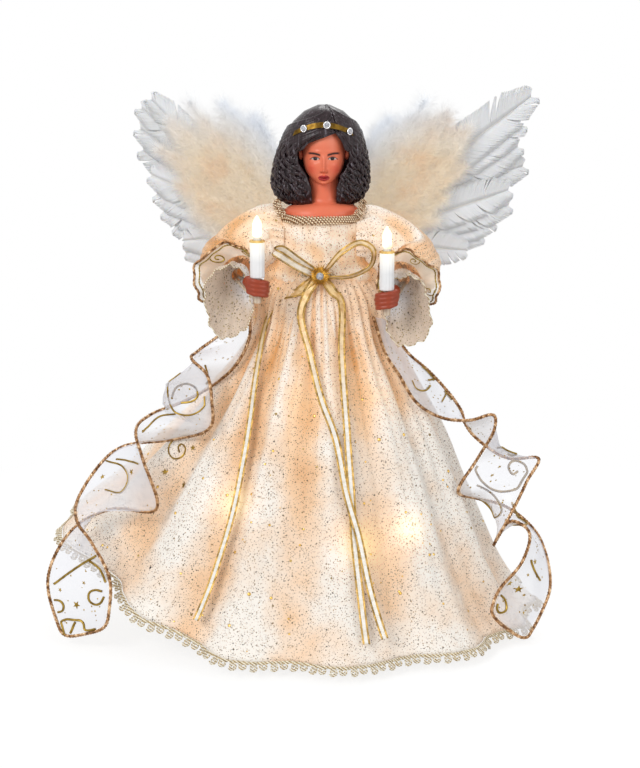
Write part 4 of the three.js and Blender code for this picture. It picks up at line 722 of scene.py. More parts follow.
for hand in fists:
    made = settled(fist(hand))
    painted(made, "skin", np.tile(skin_tone * (0.41, 0.26, 0.18), (len(made.data.vertices), 1)))
    made.data.materials.clear()
    made.data.materials.append(skin_paint)
    ridden(made, "skin_paint", f"{hand}_hand")

# Candles
# A fluted white plastic sleeve over each lamp socket, with a narrow gilt ring on its rim. The lit lamp
# shines through the sleeve's top, and that light is painted on the sleeve as a glow.
candle_lengths = {"left": 20, "right": 21}
candle_radius, candle_bore, candle_foot, candle_flutes, flute_depth = 4.14, 3.56, 5.6, 14, 0.2


def turned(outline, centre, columns=32):
    """A closed lathe form: (radius, height) points from top to bottom, round a centre."""
    a = round_angles(columns)
    rings = [np.stack([np.cos(a) * r, np.sin(a) * r, np.full(columns, z)], -1) + centre for r, z in outline]
    return np.concatenate(rings), tube_faces(len(rings), columns)


def candle_sleeve(hand):
    columns = 96
    a = round_angles(columns)
    foot = fists[hand][1] * (1, 1, 0) + (0, 0, fists[hand][1][2] + candle_foot)
    length = candle_lengths[hand]
    rims = [(candle_bore, 0, 0), (candle_bore, length, 0), (3.9, length, 0.1), (4.1, length - 0.3, 0.5)]
    wall = [(candle_radius, length - 0.8 - (length - 1.6) * t, 1) for t in np.linspace(0, 1, 12)]
    rings = []
    for radius, z, flute in [*rims, *wall, (4.12, 0.3, 0.5), (3.9, 0, 0.1)]:
        r = radius - flute_depth * flute * (0.5 - 0.5 * np.cos(candle_flutes * a))
        rings.append(foot + np.stack([np.cos(a) * r, np.sin(a) * r, np.full(columns, z)], -1))
    faces = grid_faces(len(rings) + 1, columns, True) % (len(rings) * columns)
    points = np.concatenate(rings)
    return points, faces, (points[:, 2] - foot[2]) / length


candle_paint, candle_tree = principled("candle_plastic", Roughness=0.32, IOR=1.5)
candle_up = read_paint(candle_tree, "up").outputs["Fac"]
tinted(candle_tree, grain(candle_tree, 90), (0.3, (0.86, 0.87, 0.88)), (0.7, (0.93, 0.93, 0.93)))
# Painted glow of the lamp inside: none below about halfway up, strongest at the rim.
colour_in(candle_tree, shades(candle_tree, candle_up, (0.3, (1, 0.98, 0.95)), (1, (1, 0.87, 0.5))), "Emission Color")
colour_in(candle_tree, ranged(candle_tree, candle_up, 0.0, 0.4, 0.45), "Emission Strength")
relief(candle_tree, grain(candle_tree, 2200, 2), 0.02)
candle_paint.cycles.emission_sampling = "NONE"
for hand in fists:
    points, faces, up = candle_sleeve(hand)
    made = new_piece(f"{hand}_candle", points, faces, candle_paint)
    painted(made, "up", up)
    ridden(made, "white_plastic", f"{hand}_candle_sleeve")
dress(gilt("ring_gilt", (0.95, 0.68, 0.26), (0.72, 0.44, 0.12), 0.28), "left_candle_ring", "right_candle_ring")
dress(moulded("husk_plastic", (0.88, 0.86, 0.8), (0.8, 0.78, 0.7), 0.3), "left_bulb_husk", "right_bulb_husk")


def mini_lamp(hand):
    """The lamp's glass: a straight tube drawn out to a sealed tip."""
    glass_radius = 2.66
    low, high = node_corners(f"{hand}_bulb_glass")
    centre = (low + high) / 2 * (1, 1, 0)
    foot, length = low[2], high[2] - low[2]
    outline = [
        (0.06, 1), (0.16, 0.985), (0.3, 0.95), (0.42, 0.9), (0.62, 0.82), (0.84, 0.73), (0.96, 0.62),
        (1, 0.5), (1, 0.25), (0.97, 0.06), (0.8, 0.01), (0.3, 0),
    ]  # fmt: skip
    return turned([(r * glass_radius, foot + z * length) for r, z in outline], centre)


candle_glass = lamp_glass("candle_lamp_glass", 1.5)
for hand in fists:
    made = new_piece(f"{hand}_lamp", *mini_lamp(hand), candle_glass)
    ridden(made, "lamp_glass", f"{hand}_bulb_glass", body=f"{hand}_bulb")

# Skirt
# Cream satin gathered at the waist into soft folds, spread wide over its lining and kicked up on the
# left. Fine gold and bronze glitter is printed all over it, with gold sequins among it. The light of the
# lamps inside is painted on as warm patches where it shines through, and its folds carry painted shade.
waist_height, hem_height, hem_half_width, hem_half_depth = 206, 9, 131, 121
train_lift, train_reach, train_azimuth, train_spread = 50, 15, 168, 88
torso_height, torso_oval_foot, torso_oval_top = 42, (23.6, 17.2), (22.6, 17.5)
large_folds, fold_depth = 13, 8
bodice_cloth, touch_gap, skirt_cloth = 1.5, 0.3, 1.2
waist_grow = bodice_cloth + touch_gap + skirt_cloth


def torso_oval(z):
    """The torso form's half width and half depth at a height."""
    t = ease((z - cone_height) / torso_height)
    return tuple(lerp(foot, top, t) for foot, top in zip(torso_oval_foot, torso_oval_top))


waist_half_width, waist_half_depth = torso_oval(waist_height)


def train(a):
    """1 where the hem is kicked up on the left, falling to 0 round it."""
    off = np.abs(np.mod(a - math.radians(train_azimuth) + 3 * math.pi, full_turn) - math.pi)
    return ease(1 - off / math.radians(train_spread))


def fold_at(a):
    """How deep in a large fold an azimuth is, from a ridge at 0 to a valley at 1."""
    return (1 - np.cos(large_folds * a + 0.9 * np.sin(2 * a + 0.5) + 0.6 * np.sin(3 * a))) / 2


def skirt_point(a, drop, off=0, fold=None):
    """A point off the skirt's outer face, at an azimuth and a share of the way down to the hem."""
    a, drop = np.broadcast_arrays(np.asarray(a, float), np.asarray(drop, float))
    lift = train(a)
    flare = 1.2 * drop**6 * (1 - drop)
    hollow = 0.75 * drop * (1 - drop) ** 2
    spread = drop - lerp(flare, hollow, lift)
    depth = fold_depth * np.sqrt(np.clip(drop, 0, 1)) * ease(drop / 0.2)
    sink = off - depth * (fold_at(a) if fold is None else fold)
    return np.stack([
        np.cos(a) * (lerp(waist_half_width + waist_grow, hem_half_width + train_reach * lift, spread) + sink),
        np.sin(a) * (lerp(waist_half_depth + waist_grow, hem_half_depth + train_reach * lift, spread) + sink),
        lerp(waist_height, hem_height + train_lift * lift, drop),
    ], -1)  # fmt: skip


def gathers(a, drop):
    """The small folds between the large ones, from sharp tucks at the waist to soft waves at the hem."""
    tucks = np.sin(47 * a + 2.6 * np.sin(5 * a) + 2.2 * np.sin(3 * drop + a)) * (0.9 + 0.45 * np.sin(7 * a + 1))
    tuck_reach = 0.15 + 0.05 * np.sin(11 * a)
    tucks = (tucks + 0.4 * np.sin(71 * a + 3 * np.sin(4 * a))) * np.exp(-(((drop - 0.1) / tuck_reach) ** 2))
    waves = np.sin(29 * a + 2.1 * np.sin(3 * a + 1) + 1.5 * drop) * 0.9 * ease(drop * 3) * (1 - 0.5 * drop)
    slack = np.sin(9 * drop * 2 + 6 * a) * np.sin(7 * a + 4 * drop) * 0.8 * ease(drop * 2)
    puckers = np.sin(61 * a + 9 * drop) * 0.25 * ease(drop * 2)
    # The cloth stands out over the hips, along the train and at the train's side.
    hips = 7.5 * np.abs(np.cos(a)) ** 1.6 * np.exp(-(((drop - 0.05) / 0.07) ** 2))
    hips = hips + 9 * train(a) ** 6 * ease((drop - 0.75) * 4)
    hips = hips + 7 * np.exp(-(((a - 3.0) / 0.22) ** 2) - ((drop - 0.14) / 0.09) ** 2)
    hips = hips + 11 * np.exp(-(((a - 3.2) / 0.14) ** 2)) * ease((drop - 0.82) * 5.5)
    return np.maximum(tucks + waves + slack + puckers, -1.4) + hips


def on_satin(a, drop, off=0.0):
    """A point off the gathered satin, small folds and all."""
    return skirt_point(a, drop, gathers(a, drop) - skirt_cloth + off)


def lamp_warmth(points):
    """How strongly the cone's lamps shine through the cloth at each point, for painting their light on it."""
    warm = np.zeros(len(points))
    lamp_proud, light_reach, light_share = 8, 38, 0.75
    for azimuth, height in cone_lamps:
        a = math.radians(azimuth)
        r = lerp(cone_foot_radius, cone_top_radius, height / cone_height) + lamp_proud
        lamp = np.array([math.cos(a) * r, math.sin(a) * r, height])
        near_lamp = np.linalg.norm((points - lamp) * (1, 1, 0.8), axis=1)
        warm += np.exp(-((near_lamp / light_reach) ** 2)) * light_share
    return warm


def glow_spots(points, spots):
    """Painted bright spots of lamp light, each (azimuth, drop, size, strength), where a lamp lies close behind the
    cloth.
    """
    glow = np.zeros(len(points))
    for azimuth, drop, size, strength in spots:
        middle = skirt_point(math.radians(azimuth), drop, 0, 0.5)
        glow += strength * np.exp(-((np.linalg.norm(points - middle, axis=1) / size) ** 1.6))
    return glow


def fleck_mask(tree, place, pitch, size, seed):
    """1 in scattered round flecks: about one to each pitch, smaller and larger ones mixed."""
    moved = add_node(tree, "ShaderNodeMapping", {"Vector": place, "Location": (seed, seed * 0.7, seed * 1.3)})
    cells = add_node(tree, "ShaderNodeTexVoronoi", {"Vector": moved.outputs[0], "Scale": 1 / (pitch * mm)})
    spread = add_node(tree, "ShaderNodeSeparateColor", {"Color": cells.outputs["Color"]})
    limit = maths(tree, "MULTIPLY", spread.outputs[0], size / pitch)
    return maths(tree, "LESS_THAN", cells.outputs["Distance"], limit), spread.outputs[1]


def mixed(tree, factor, a, b, blend="MIX"):
    node = add_node(tree, "ShaderNodeMix", {"Factor": factor}, data_type="RGBA", blend_type=blend)
    for socket, value in (("A", a), ("B", b)):
        if isinstance(value, bpy.types.NodeSocket):
            tree.links.new(value, node.inputs[socket])
        else:
            node.inputs[socket].default_value = (*value, 1)
    return node.outputs["Result"]


def glittered_satin(name, pale, warm, deep, glow_colour):
    """Satin that reads its painted shade and painted lamp glow from its cloth, with a fine weave and printed glitter;
    it also glows faintly in its own colour.
    """
    paint, tree = principled(
        name, Roughness=0.46, Sheen_Weight=0.25, Sheen_Roughness=0.4, Specular_IOR_Level=0.35, Emission_Strength=1.0
    )
    place = object_place(tree)
    # The warm value is painted shade and painted lamp light, stirred with noise; it runs the cloth from pale through
    # peach to deep brown.
    shade_and_glow = read_paint(tree, "warm").outputs["Fac"]
    for scale, amount in ((45, 0.13), (16, 0.2)):
        drift = ranged(tree, grain(tree, scale, 4, place), -amount, amount, 0.32, 0.68)
        shade_and_glow = maths(tree, "ADD", shade_and_glow, drift)
    cloth = shades(tree, shade_and_glow, (0.0, pale), (0.48, warm), (1.0, deep))
    for pitch, size, seed, dark, bright in (
        (0.72, 0.3, 1.3, (0.13, 0.08, 0.05), (0.55, 0.42, 0.28)),
        (1.25, 0.39, 3.1, (0.05, 0.035, 0.02), (0.42, 0.28, 0.14)),
        (2.7, 0.5, 9.7, (0.02, 0.014, 0.01), (0.2, 0.12, 0.04)),
        (8.0, 0.85, 6.4, (0.02, 0.012, 0.01), (0.6, 0.4, 0.1)),
    ):
        flecked, tone = fleck_mask(tree, place, pitch, size, seed)
        cloth = mixed(tree, flecked, cloth, shades(tree, tone, (0.25, dark), (0.85, bright)))
    colour_in(tree, cloth)
    # Painted light: the glow value adds lamp light as emission, and the cloth glows faintly in its own colour as well.
    glow = read_paint(tree, "glow").outputs["Fac"]
    lamp_light = mixed(tree, glow, (0, 0, 0), shades(tree, glow, (0.05, glow_colour), (0.45, (1, 0.84, 0.36))))
    colour_in(tree, mixed(tree, 0.1, lamp_light, cloth, "ADD"), "Emission Color")
    weave = threads(tree, 900, "Z", place, 1.5)
    relief(tree, maths(tree, "ADD", weave, grain(tree, 500, 3, place)), 0.06)
    paint.cycles.emission_sampling = "NONE"
    return paint


def as_cloth(piece, thickness):
    """Gives a modelled face the cloth's thickness, inwards."""
    doubled = piece.modifiers.new("cloth", "SOLIDIFY")
    doubled.thickness, doubled.offset = thickness * mm, -1
    return settled(piece)


satin = glittered_satin("cream_satin", (0.93, 0.88, 0.81), (0.9, 0.62, 0.4), (0.7, 0.34, 0.12), (1, 0.62, 0.3))
satin_thickness = 0.45
skirt_rows, skirt_columns = 96, 416
around = round_angles(skirt_columns)[None, :]
drops = np.linspace(0, 1, skirt_rows)[:, None] ** 0.92
flat_points = on_satin(around, drops).reshape(-1, 3)
valley = (fold_at(around) * ease(drops * 4)).ravel()
skirt = new_piece("gown_skirt", flat_points, grid_faces(skirt_rows, skirt_columns, True), satin)
# The warm value is painted shade and painted lamp light: deeper in the valleys, towards the waist and in the tucks, and
# warmer over the lamps.
high = 1 - ease((drops + 0 * around).ravel() / 0.62)
tuck = ((gathers(around, drops) < 0) * 0.5 * np.exp(-((drops / 0.4) ** 2))).ravel()
shade = valley**1.3 * lerp(0.42, 0.75, high) + 0.14 * high**2 + 0.22 * lamp_warmth(flat_points) + 0.5 * tuck
# More painted shade at the sides just below the waist.
shade = shade + (0.45 * np.abs(np.cos(around)) * np.exp(-((drops / 0.22) ** 2))).ravel()
# All of the painted shade and light is weaker towards the viewer's right.
to_right = ease((flat_points[:, 0] - 10) / 50)
painted(skirt, "warm", np.clip(shade * (1 - 0.6 * to_right), 0, 1))
# Painted lamp light: bright spots where lamps lie close behind the cloth, and a faint glow towards the waist.
lamp_spots = [
    (235, 0.63, 11, 0.5), (284, 0.71, 12, 0.55), (304, 0.68, 10, 0.45), (262, 0.33, 20, 0.12),
    (307, 0.32, 16, 0.1), (90, 0.6, 12, 0.4), (162, 0.6, 12, 0.4), (20, 0.6, 12, 0.4),
]  # fmt: skip
painted(skirt, "glow", glow_spots(flat_points, lamp_spots) + 0.05 * high)
as_cloth(skirt, satin_thickness)
ridden(skirt, "satin", "skirt")


def laid_out(name, places, out, along, size, shape, sizes, paint):
    """One copy of a small shape at each place, facing out and turned along, made by Geometry Nodes.
    shape(tree, inputs) builds it from the tree's named sizes, in millimetres."""
    made = new_piece(name, places, [], paint)
    for key, vectors in (("out", out), ("along", along)):
        layer = made.data.attributes.new(key, "FLOAT_VECTOR", "POINT")
        layer.data.foreach_set("vector", np.asarray(vectors, dtype=np.float32).ravel())
    made.data.attributes.new("size", "FLOAT", "POINT").data.foreach_set("value", np.asarray(size, dtype=np.float32))
    tree = bpy.data.node_groups.new(name, "GeometryNodeTree")
    tree.interface.new_socket("Geometry", in_out="INPUT", socket_type="NodeSocketGeometry")
    tree.interface.new_socket("Geometry", in_out="OUTPUT", socket_type="NodeSocketGeometry")
    sockets = {key: tree.interface.new_socket(key, in_out="INPUT", socket_type="NodeSocketFloat") for key in sizes}
    inputs = add_node(tree, "NodeGroupInput")

    def read(key, kind="FLOAT_VECTOR"):
        return add_node(tree, "GeometryNodeInputNamedAttribute", {"Name": key}, data_type=kind).outputs["Attribute"]

    facing = add_node(tree, "FunctionNodeAlignRotationToVector", {"Vector": read("out")}, axis="Z")
    way = {"Rotation": facing.outputs[0], "Vector": read("along")}
    turned_along = add_node(tree, "FunctionNodeAlignRotationToVector", way, axis="X", pivot_axis="Z")
    points = add_node(tree, "GeometryNodeMeshToPoints", {"Mesh": inputs.outputs["Geometry"]})
    one = {
        "Points": points.outputs[0], "Instance": shape(tree, inputs.outputs),
        "Rotation": turned_along.outputs[0], "Scale": read("size", "FLOAT"),
    }  # fmt: skip
    copies = add_node(tree, "GeometryNodeInstanceOnPoints", one)
    real = add_node(tree, "GeometryNodeRealizeInstances", {"Geometry": copies.outputs[0]})
    smooth = add_node(tree, "GeometryNodeSetShadeSmooth", {"Geometry": real.outputs[0]})
    coated = add_node(tree, "GeometryNodeSetMaterial", {"Geometry": smooth.outputs[0], "Material": paint})
    add_node(tree, "NodeGroupOutput", {"Geometry": coated.outputs[0]})
    layout = made.modifiers.new("layout", "NODES")
    layout.node_group = tree
    for key, value in sizes.items():
        layout[sockets[key].identifier] = float(value * mm)
    return settled(made)


def surface_frame(at, u, v, step=1e-3):
    """Places, outward normals and the way across, of a surface at(u, v) with u round it and v down it."""
    place = at(u, v)
    across, down = at(u + step, v) - place, at(u, v + step) - place
    return place, unit(np.cross(down, across)), unit(across)


def sequin_shape(tree, sizes):
    dome = {"Vertices": 9, "Radius Top": sizes["Crown"], "Radius Bottom": sizes["Radius"], "Depth": sizes["Rise"]}
    return add_node(tree, "GeometryNodeMeshCone", dome).outputs["Mesh"]


rng = np.random.default_rng(5)
sequin_count = 230
sequin_a, sequin_drop = rng.uniform(0, full_turn, sequin_count), np.sqrt(rng.uniform(0.01, 0.97, sequin_count))
places, outward, sideways = surface_frame(on_satin, sequin_a, sequin_drop)
sequin_gold = gilt("sequin_gold", (0.95, 0.66, 0.2), (0.55, 0.33, 0.08), 0.24)
sequins = laid_out(
    "skirt_sequins", places + outward * 0.1, outward, sideways, rng.uniform(0.45, 1.0, sequin_count) ** 1.5 * 1.15,
    sequin_shape, {"Radius": 0.95, "Crown": 0.6, "Rise": 0.22}, sequin_gold,
)  # fmt: skip
ridden(sequins, "gold_metal")

# Skirt lining
# A plain cone of thin cream cotton inside the folds. It is sewn in at the waist with the satin, hangs
# free over the plastic cone and ends a little short of the hem.
cotton, cotton_tree = principled("lining_cotton", Roughness=0.85, Sheen_Weight=0.15)
tinted(cotton_tree, grain(cotton_tree, 120), (0.3, (0.74, 0.68, 0.58)), (0.7, (0.82, 0.77, 0.68)))
relief(cotton_tree, threads(cotton_tree, 420, "Z"), 0.08)
lining_rows, lining_columns, lining_thickness = 40, 160, 0.3
lining_a = round_angles(lining_columns)[None, :]
lining_drop = np.linspace(0.05, 0.957, lining_rows)[:, None]
lining_off = -3.4 - 1.2 * ease(lining_drop / 0.3) + 0.35 * np.sin(23 * lining_a + 4 * lining_drop)
lining_points = skirt_point(lining_a, lining_drop, lining_off, np.ones_like(lining_a)).reshape(-1, 3)
lining = new_piece("gown_lining", lining_points, grid_faces(lining_rows, lining_columns, True), cotton)
as_cloth(lining, lining_thickness)
ridden(lining, "lining_cotton", "skirt_lining")

# Hem edging
# A pale gold gimp round the hem: a row of rosettes, each a coil of wrapped thread, hangs below three
# fine cords that are sewn along the satin's edge.
gimp_gold, gimp_tree = principled("pale_gimp", Metallic=0.35, Roughness=0.42, Sheen_Weight=0.2)
gimp_twist = threads(gimp_tree, 260, "DIAGONAL")
# The twist is painted darker in its grooves and paler on its crests: painted shade and a painted highlight along the
# bump.
tinted(gimp_tree, gimp_twist, (0.15, (0.42, 0.3, 0.15)), (0.5, (0.68, 0.57, 0.38)), (0.85, (0.88, 0.82, 0.66)))
relief(gimp_tree, gimp_twist, 0.18)


def rosette_shape(tree, sizes):
    turns = {"Resolution": 10, "Rotations": 1.9, "Height": sizes["Rise"]}
    reach = {"Start Radius": sizes["Heart"], "End Radius": sizes["Radius"]}
    coil = add_node(tree, "GeometryNodeCurveSpiral", turns | reach)
    wire = add_node(tree, "GeometryNodeCurvePrimitiveCircle", {"Resolution": 5, "Radius": sizes["Wire"]})
    return add_node(tree, "GeometryNodeCurveToMesh", {0: coil.outputs[0], 1: wire.outputs[0]}).outputs[0]


def hem_frame(a, below):
    """Places below the hem in the line of the cloth, their outward normals and the way round."""
    edge = on_satin(a, 1.0)
    fall = unit(edge - on_satin(a, 0.97))
    round_way = unit(on_satin(a + 1e-3, 1.0) - edge)
    return edge + fall * below[..., None], unit(np.cross(fall, round_way)), round_way


rosette_pitch = 5.6
hem_sweep = np.linspace(0, full_turn, 4000)
hem_run = path_run(on_satin(hem_sweep, 1.0))
rosette_count = int(hem_run[-1] / rosette_pitch)
rosette_a = np.interp((np.arange(rosette_count) + 0.5) / rosette_count * hem_run[-1], hem_run, hem_sweep)
# Every other rosette hangs lower, is smaller and is coiled the other way.
higher = np.arange(rosette_count) % 2 == 0
places, outward, sideways = hem_frame(rosette_a, np.where(higher, 3.3, 3.9))
rosettes = laid_out(
    "hem_rosettes", places + outward * 0.35, outward, sideways * np.where(higher, 1, -1)[:, None],
    np.where(higher, 1.0, 0.92), rosette_shape, {"Radius": 2.75, "Heart": 0.5, "Rise": 0.25, "Wire": 0.48}, gimp_gold,
)  # fmt: skip
ridden(rosettes, "silver_lace", "hem_lace")
hem_cord_radius, hem_cord_twists = 0.42, 190
cord_a = round_angles(900)
hem_cords = []
for below, swing, phase in ((0.9, 0.28, 0), (0.9, 0.28, math.pi), (1.6, 0.3, 1.5)):
    twist = cord_a * hem_cord_twists + phase
    places, outward, _ = hem_frame(cord_a, below + swing * np.sin(twist))
    lifted = places + outward * (0.45 + swing * np.cos(twist))[:, None]
    hem_cords.append(strand(lifted, hem_cord_radius, 5, closed=True))
hem_cords = new_piece("hem_cords", *joined_shells(*hem_cords), gimp_gold)
ridden(hem_cords, "silver_lace")

# Bodice
# Cream satin, glittered as the skirt is, drawn close over the torso form and sewn up the back. It
# blouses a little over the waist at the sides, and its neckline rises towards the shoulders.
neckline_base, neckline_rise = 242, 5.5


def neckline_at(a):
    return neckline_base + neckline_rise * np.cos(a) ** 10


def bodice_point(a, z, off):
    wide, deep = torso_oval(z)
    return np.stack([np.cos(a) * (wide + off), np.sin(a) * (deep + off), z + 0 * a], -1)


bodice_foot, bodice_rows, bodice_columns = 202, 44, 220
bodice_a = round_angles(bodice_columns)[None, :]
bodice_t = np.linspace(1, 0, bodice_rows)[:, None]
bodice_z = lerp(bodice_foot, neckline_at(bodice_a), bodice_t)
pulls = 0.22 * np.sin(31 * bodice_a + 2 * np.sin(3 * bodice_a)) * (1 - bodice_t)
pulls = pulls + 0.3 * np.sin(6 * bodice_a + 5 * bodice_t)
sides = np.abs(np.cos(bodice_a))
blouse = 7 * sides**1.6 * np.exp(-(((bodice_z - 209) / 8) ** 2)) + 3 * sides**5 * ease((244 - bodice_z) / 12)
creases = 1.0 * np.sin(7 * bodice_a + 0.3 * bodice_z) * np.sin(4 * bodice_a - 0.16 * bodice_z) * (1 - bodice_t**3)
bodice_points = bodice_point(bodice_a, bodice_z, 1.25 + pulls + blouse + creases).reshape(-1, 3)
bodice = new_piece("gown_bodice", bodice_points, grid_faces(bodice_rows, bodice_columns, True), satin)
# The warm value is painted shade: more towards the waist, at the sides and in the creases' hollows. A faint painted
# glow lies over all of it.
bodice_shade = 0.04 + 0.2 * (1 - bodice_t) + 0.4 * sides**3 - 0.32 * (creases + pulls)
painted(bodice, "warm", np.clip(bodice_shade, 0, 1).ravel())
painted(bodice, "glow", np.full(len(bodice_points), 0.1))
as_cloth(bodice, satin_thickness)
ridden(bodice, "satin", "bodice")

# Neckline and waist braids
# Gimp braid, copper gold at the neckline and pale gold at the waist. Two strands of wrapped cord loop
# past each other between finer cords, and flat coils of the same gimp end it on the shoulders.


def gimp(at, width, loops, wire):
    a = np.linspace(0, full_turn, loops * 12, endpoint=False)
    shells = []
    for side in (1, -1):
        swing = side * np.sin(loops * a)
        wobble = side * np.cos(loops * a) * 0.5
        looped = at(a + 0.018 * np.sin(2 * loops * a), wire * (1.2 + wobble), swing * width * 0.38)
        shells.append(strand(looped, wire, 6, closed=True))
    for up in (-0.26, 0.0, 0.26):
        edge = at(a, wire * 0.9, up * width + 0.15 * np.sin(4 * loops * a))
        shells.append(strand(edge, wire * 0.7, 5, closed=True))
    return joined_shells(*shells)


braid_stand, waist_braid_height = 1.8, 208.8


def round_torso(a, z, out, height):
    """A place beside the torso form, off the oval that it has at a height."""
    wide, deep = torso_oval(height)
    out = braid_stand + out
    return np.stack([np.cos(a) * (wide + out), np.sin(a) * (deep + out), z], -1)


def neck_place(a, out, up):
    return round_torso(a, neckline_at(a) - 1.5 + up, out, cone_height + torso_height)


def waist_place(a, out, up):
    return round_torso(a, waist_braid_height + up + 0 * a, out, waist_height)


def coil(centre, across, up, radius, wire, turns=1.6):
    """A flat coil of gimp, as at the ends of a braid."""
    t = np.linspace(0, 1, 34)[:, None]
    turn = t * turns * full_turn
    return strand(centre + (across * np.cos(turn) + up * np.sin(turn)) * radius * (1 - 0.72 * t), wire, 6)


copper_gimp, copper_tree = principled("copper_gimp", Metallic=0.4, Roughness=0.36)
copper_twist = threads(copper_tree, 300, "DIAGONAL")
# The twist is painted darker in its grooves and paler on its crests: painted shade and a painted highlight along the
# bump.
tinted(copper_tree, copper_twist, (0.15, (0.2, 0.085, 0.03)), (0.5, (0.6, 0.38, 0.19)), (0.85, (0.95, 0.8, 0.6)))
relief(copper_tree, copper_twist, 0.16)
# Where each coil on a shoulder sits, and its radius.
coil_places = ((22.6, -13, 243.4, 3.1), (24.6, -8.5, 246.6, 2.7), (25.2, -2.5, 248.6, 2.6), (24.8, 3.5, 248.2, 2.4))
neck_coils = []
for side in (-1, 1):
    for x, y, z, radius in coil_places:
        out = unit(np.array([side * 0.55, -0.7, 0.45]))
        across = unit(np.cross(out, (0, 0, 1)))
        neck_coils.append(coil(np.array([side * x, y, z]), across * side, np.cross(across, out), radius, 0.5))
neck_braid = new_piece("neckline_gimp", *joined_shells(gimp(neck_place, 6.0, 44, 0.6), *neck_coils), copper_gimp)
ridden(neck_braid, "silver_lace", "neckline_braid")
waist_braid = new_piece("waist_gimp", *gimp(waist_place, 4.0, 44, 0.48), gimp_gold)
ridden(waist_braid, "silver_lace", "waist_braid")

# Sleeves
# Puffed satin sleeves over the arm wire, drawn into nine pleats at the shoulder and gathered tight
# above the wrist with a running stitch.


def curve_through(points, t):
    """The smooth curve through points, at t from 0 to 1, with the spacing that the solids' curves have."""
    p = np.asarray(points, float)
    last = len(p) - 1
    at = np.clip(np.asarray(t, float), 0, 1) * last
    i = np.minimum(at.astype(int), last - 1)
    w = (at - i)[..., None]
    padded = np.concatenate([[2 * p[0] - p[1]], p, [2 * p[-1] - p[-2]]])
    a, b, c, d = (padded[i + k] for k in range(4))
    ab, bc, cd = (np.maximum(np.linalg.norm(v, axis=-1, keepdims=True) ** 0.5, 1e-3) for v in (b - a, c - b, d - c))
    start = ((b - a) / ab - (c - a) / (ab + bc) + (c - b) / bc) * bc
    end = ((c - b) / bc - (d - b) / (bc + cd) + (d - c) / cd) * bc
    return b + w * start + w**2 * (3 * (c - b) - 2 * start - end) + w**3 * (2 * (b - c) + start + end)


def rounded_off(path, times):
    """Softens a path's corners and leaves its ends where they are."""
    for _ in range(times):
        path[1:-1] = (path[:-2] + 2 * path[1:-1] + path[2:]) / 4
    return path


def arm_sides(along):
    """The ways across an arm and down from it, square to the way along it."""
    across = unit(np.cross(along, (0, 0, -1.0)))
    return across, unit(np.cross(across, along))


def round_path(centres, along, wide, tall, a):
    """Rings round a path, where a = 90 degrees is its underside."""
    across, drop = arm_sides(along)
    sideways, downwards = (np.cos(a) * wide)[..., None], (np.sin(a) * tall)[..., None]
    return centres[:, None] + across[:, None] * sideways + drop[:, None] * downwards


def cinch(hand):
    """Where the sleeve is gathered, part of the way from the elbow to the hand."""
    return lerp(elbows[hand], fists[hand][1], 0.36)


sleeve_radius, sleeve_rise, shoulder_pleats, sleeve_thickness = 18.5, 4.5, 9, 0.4
# Each row: how far along the sleeve, its share of the full radius, and its share of the rise.
puff = np.array([[0, 0.78, 0.9], [0.2, 0.95, 1], [0.45, 1, 0.7], [0.75, 0.95, 0.3], [1, 11.5 / sleeve_radius, 0]])


def sleeve_shell(hand):
    side = fists[hand][0]
    rows, columns = 62, 240
    t = np.linspace(0, 1, rows)
    nodes = [(side * 20.5, 0, 225), (side * 33, 0, 225), elbows[hand], cinch(hand)]
    centre = curve_through(nodes, t)
    along = unit(np.gradient(centre, axis=0))
    shares = rounded_off(np.stack([np.interp(t, puff[:, 0], puff[:, k]) for k in (1, 2)], -1), 6)
    centre[:, 2] += shares[:, 1] * sleeve_rise
    a = round_angles(columns)[None, :]
    t = t[:, None]
    pleat = (1 + np.cos(shoulder_pleats * a)) / 2 + 0.3 * np.cos(27 * a + 3 * t) + 0.18 * np.sin(18 * a - 9 * t)
    middle = np.sin(math.pi * t)
    crush = (1.1 * np.sin(4 * a + 6 * t + 1) * np.sin(2 * a - 8 * t) + 0.5 * np.sin(9 * a - 5 * t)) * middle
    fold = pleat * (1 - 0.8 * middle)
    radius = shares[:, :1] * sleeve_radius - 1.5 * fold - 0.9 * middle + crush
    return round_path(centre, along, radius, radius, a), fold * 0.8 - 0.5 * crush


for hand, (side, centre) in fists.items():
    points, pleat = sleeve_shell(hand)
    flat = points.reshape(-1, 3)
    sleeve = new_piece(f"{hand}_puff_sleeve", flat, grid_faces(*points.shape[:2], True), satin)
    lamp = centre + (0, 0, 34)
    lit = np.exp(-((np.linalg.norm((flat - lamp) * (1, 0.4, 1), axis=1) / 24) ** 2))
    outer = ease((np.abs(flat[:, 0]) - 34) / 18)
    # The warm value is painted shade in the pleats and painted candle light near the lamp; it is also warmer towards
    # the outer end, more on the left sleeve.
    warm = (0.7 if side < 0 else 0.3) * outer + 0.16 + pleat.ravel() * lerp(0.2, 0.5, outer) + 0.1 * lit
    painted(sleeve, "warm", np.clip(warm, 0, 1))
    # Painted glow from the candle's lamp.
    painted(sleeve, "glow", 0.02 + (0.3 if side < 0 else 0.15) * lit**2)
    as_cloth(sleeve, sleeve_thickness)
    ridden(sleeve, "satin", f"{hand}_sleeve")

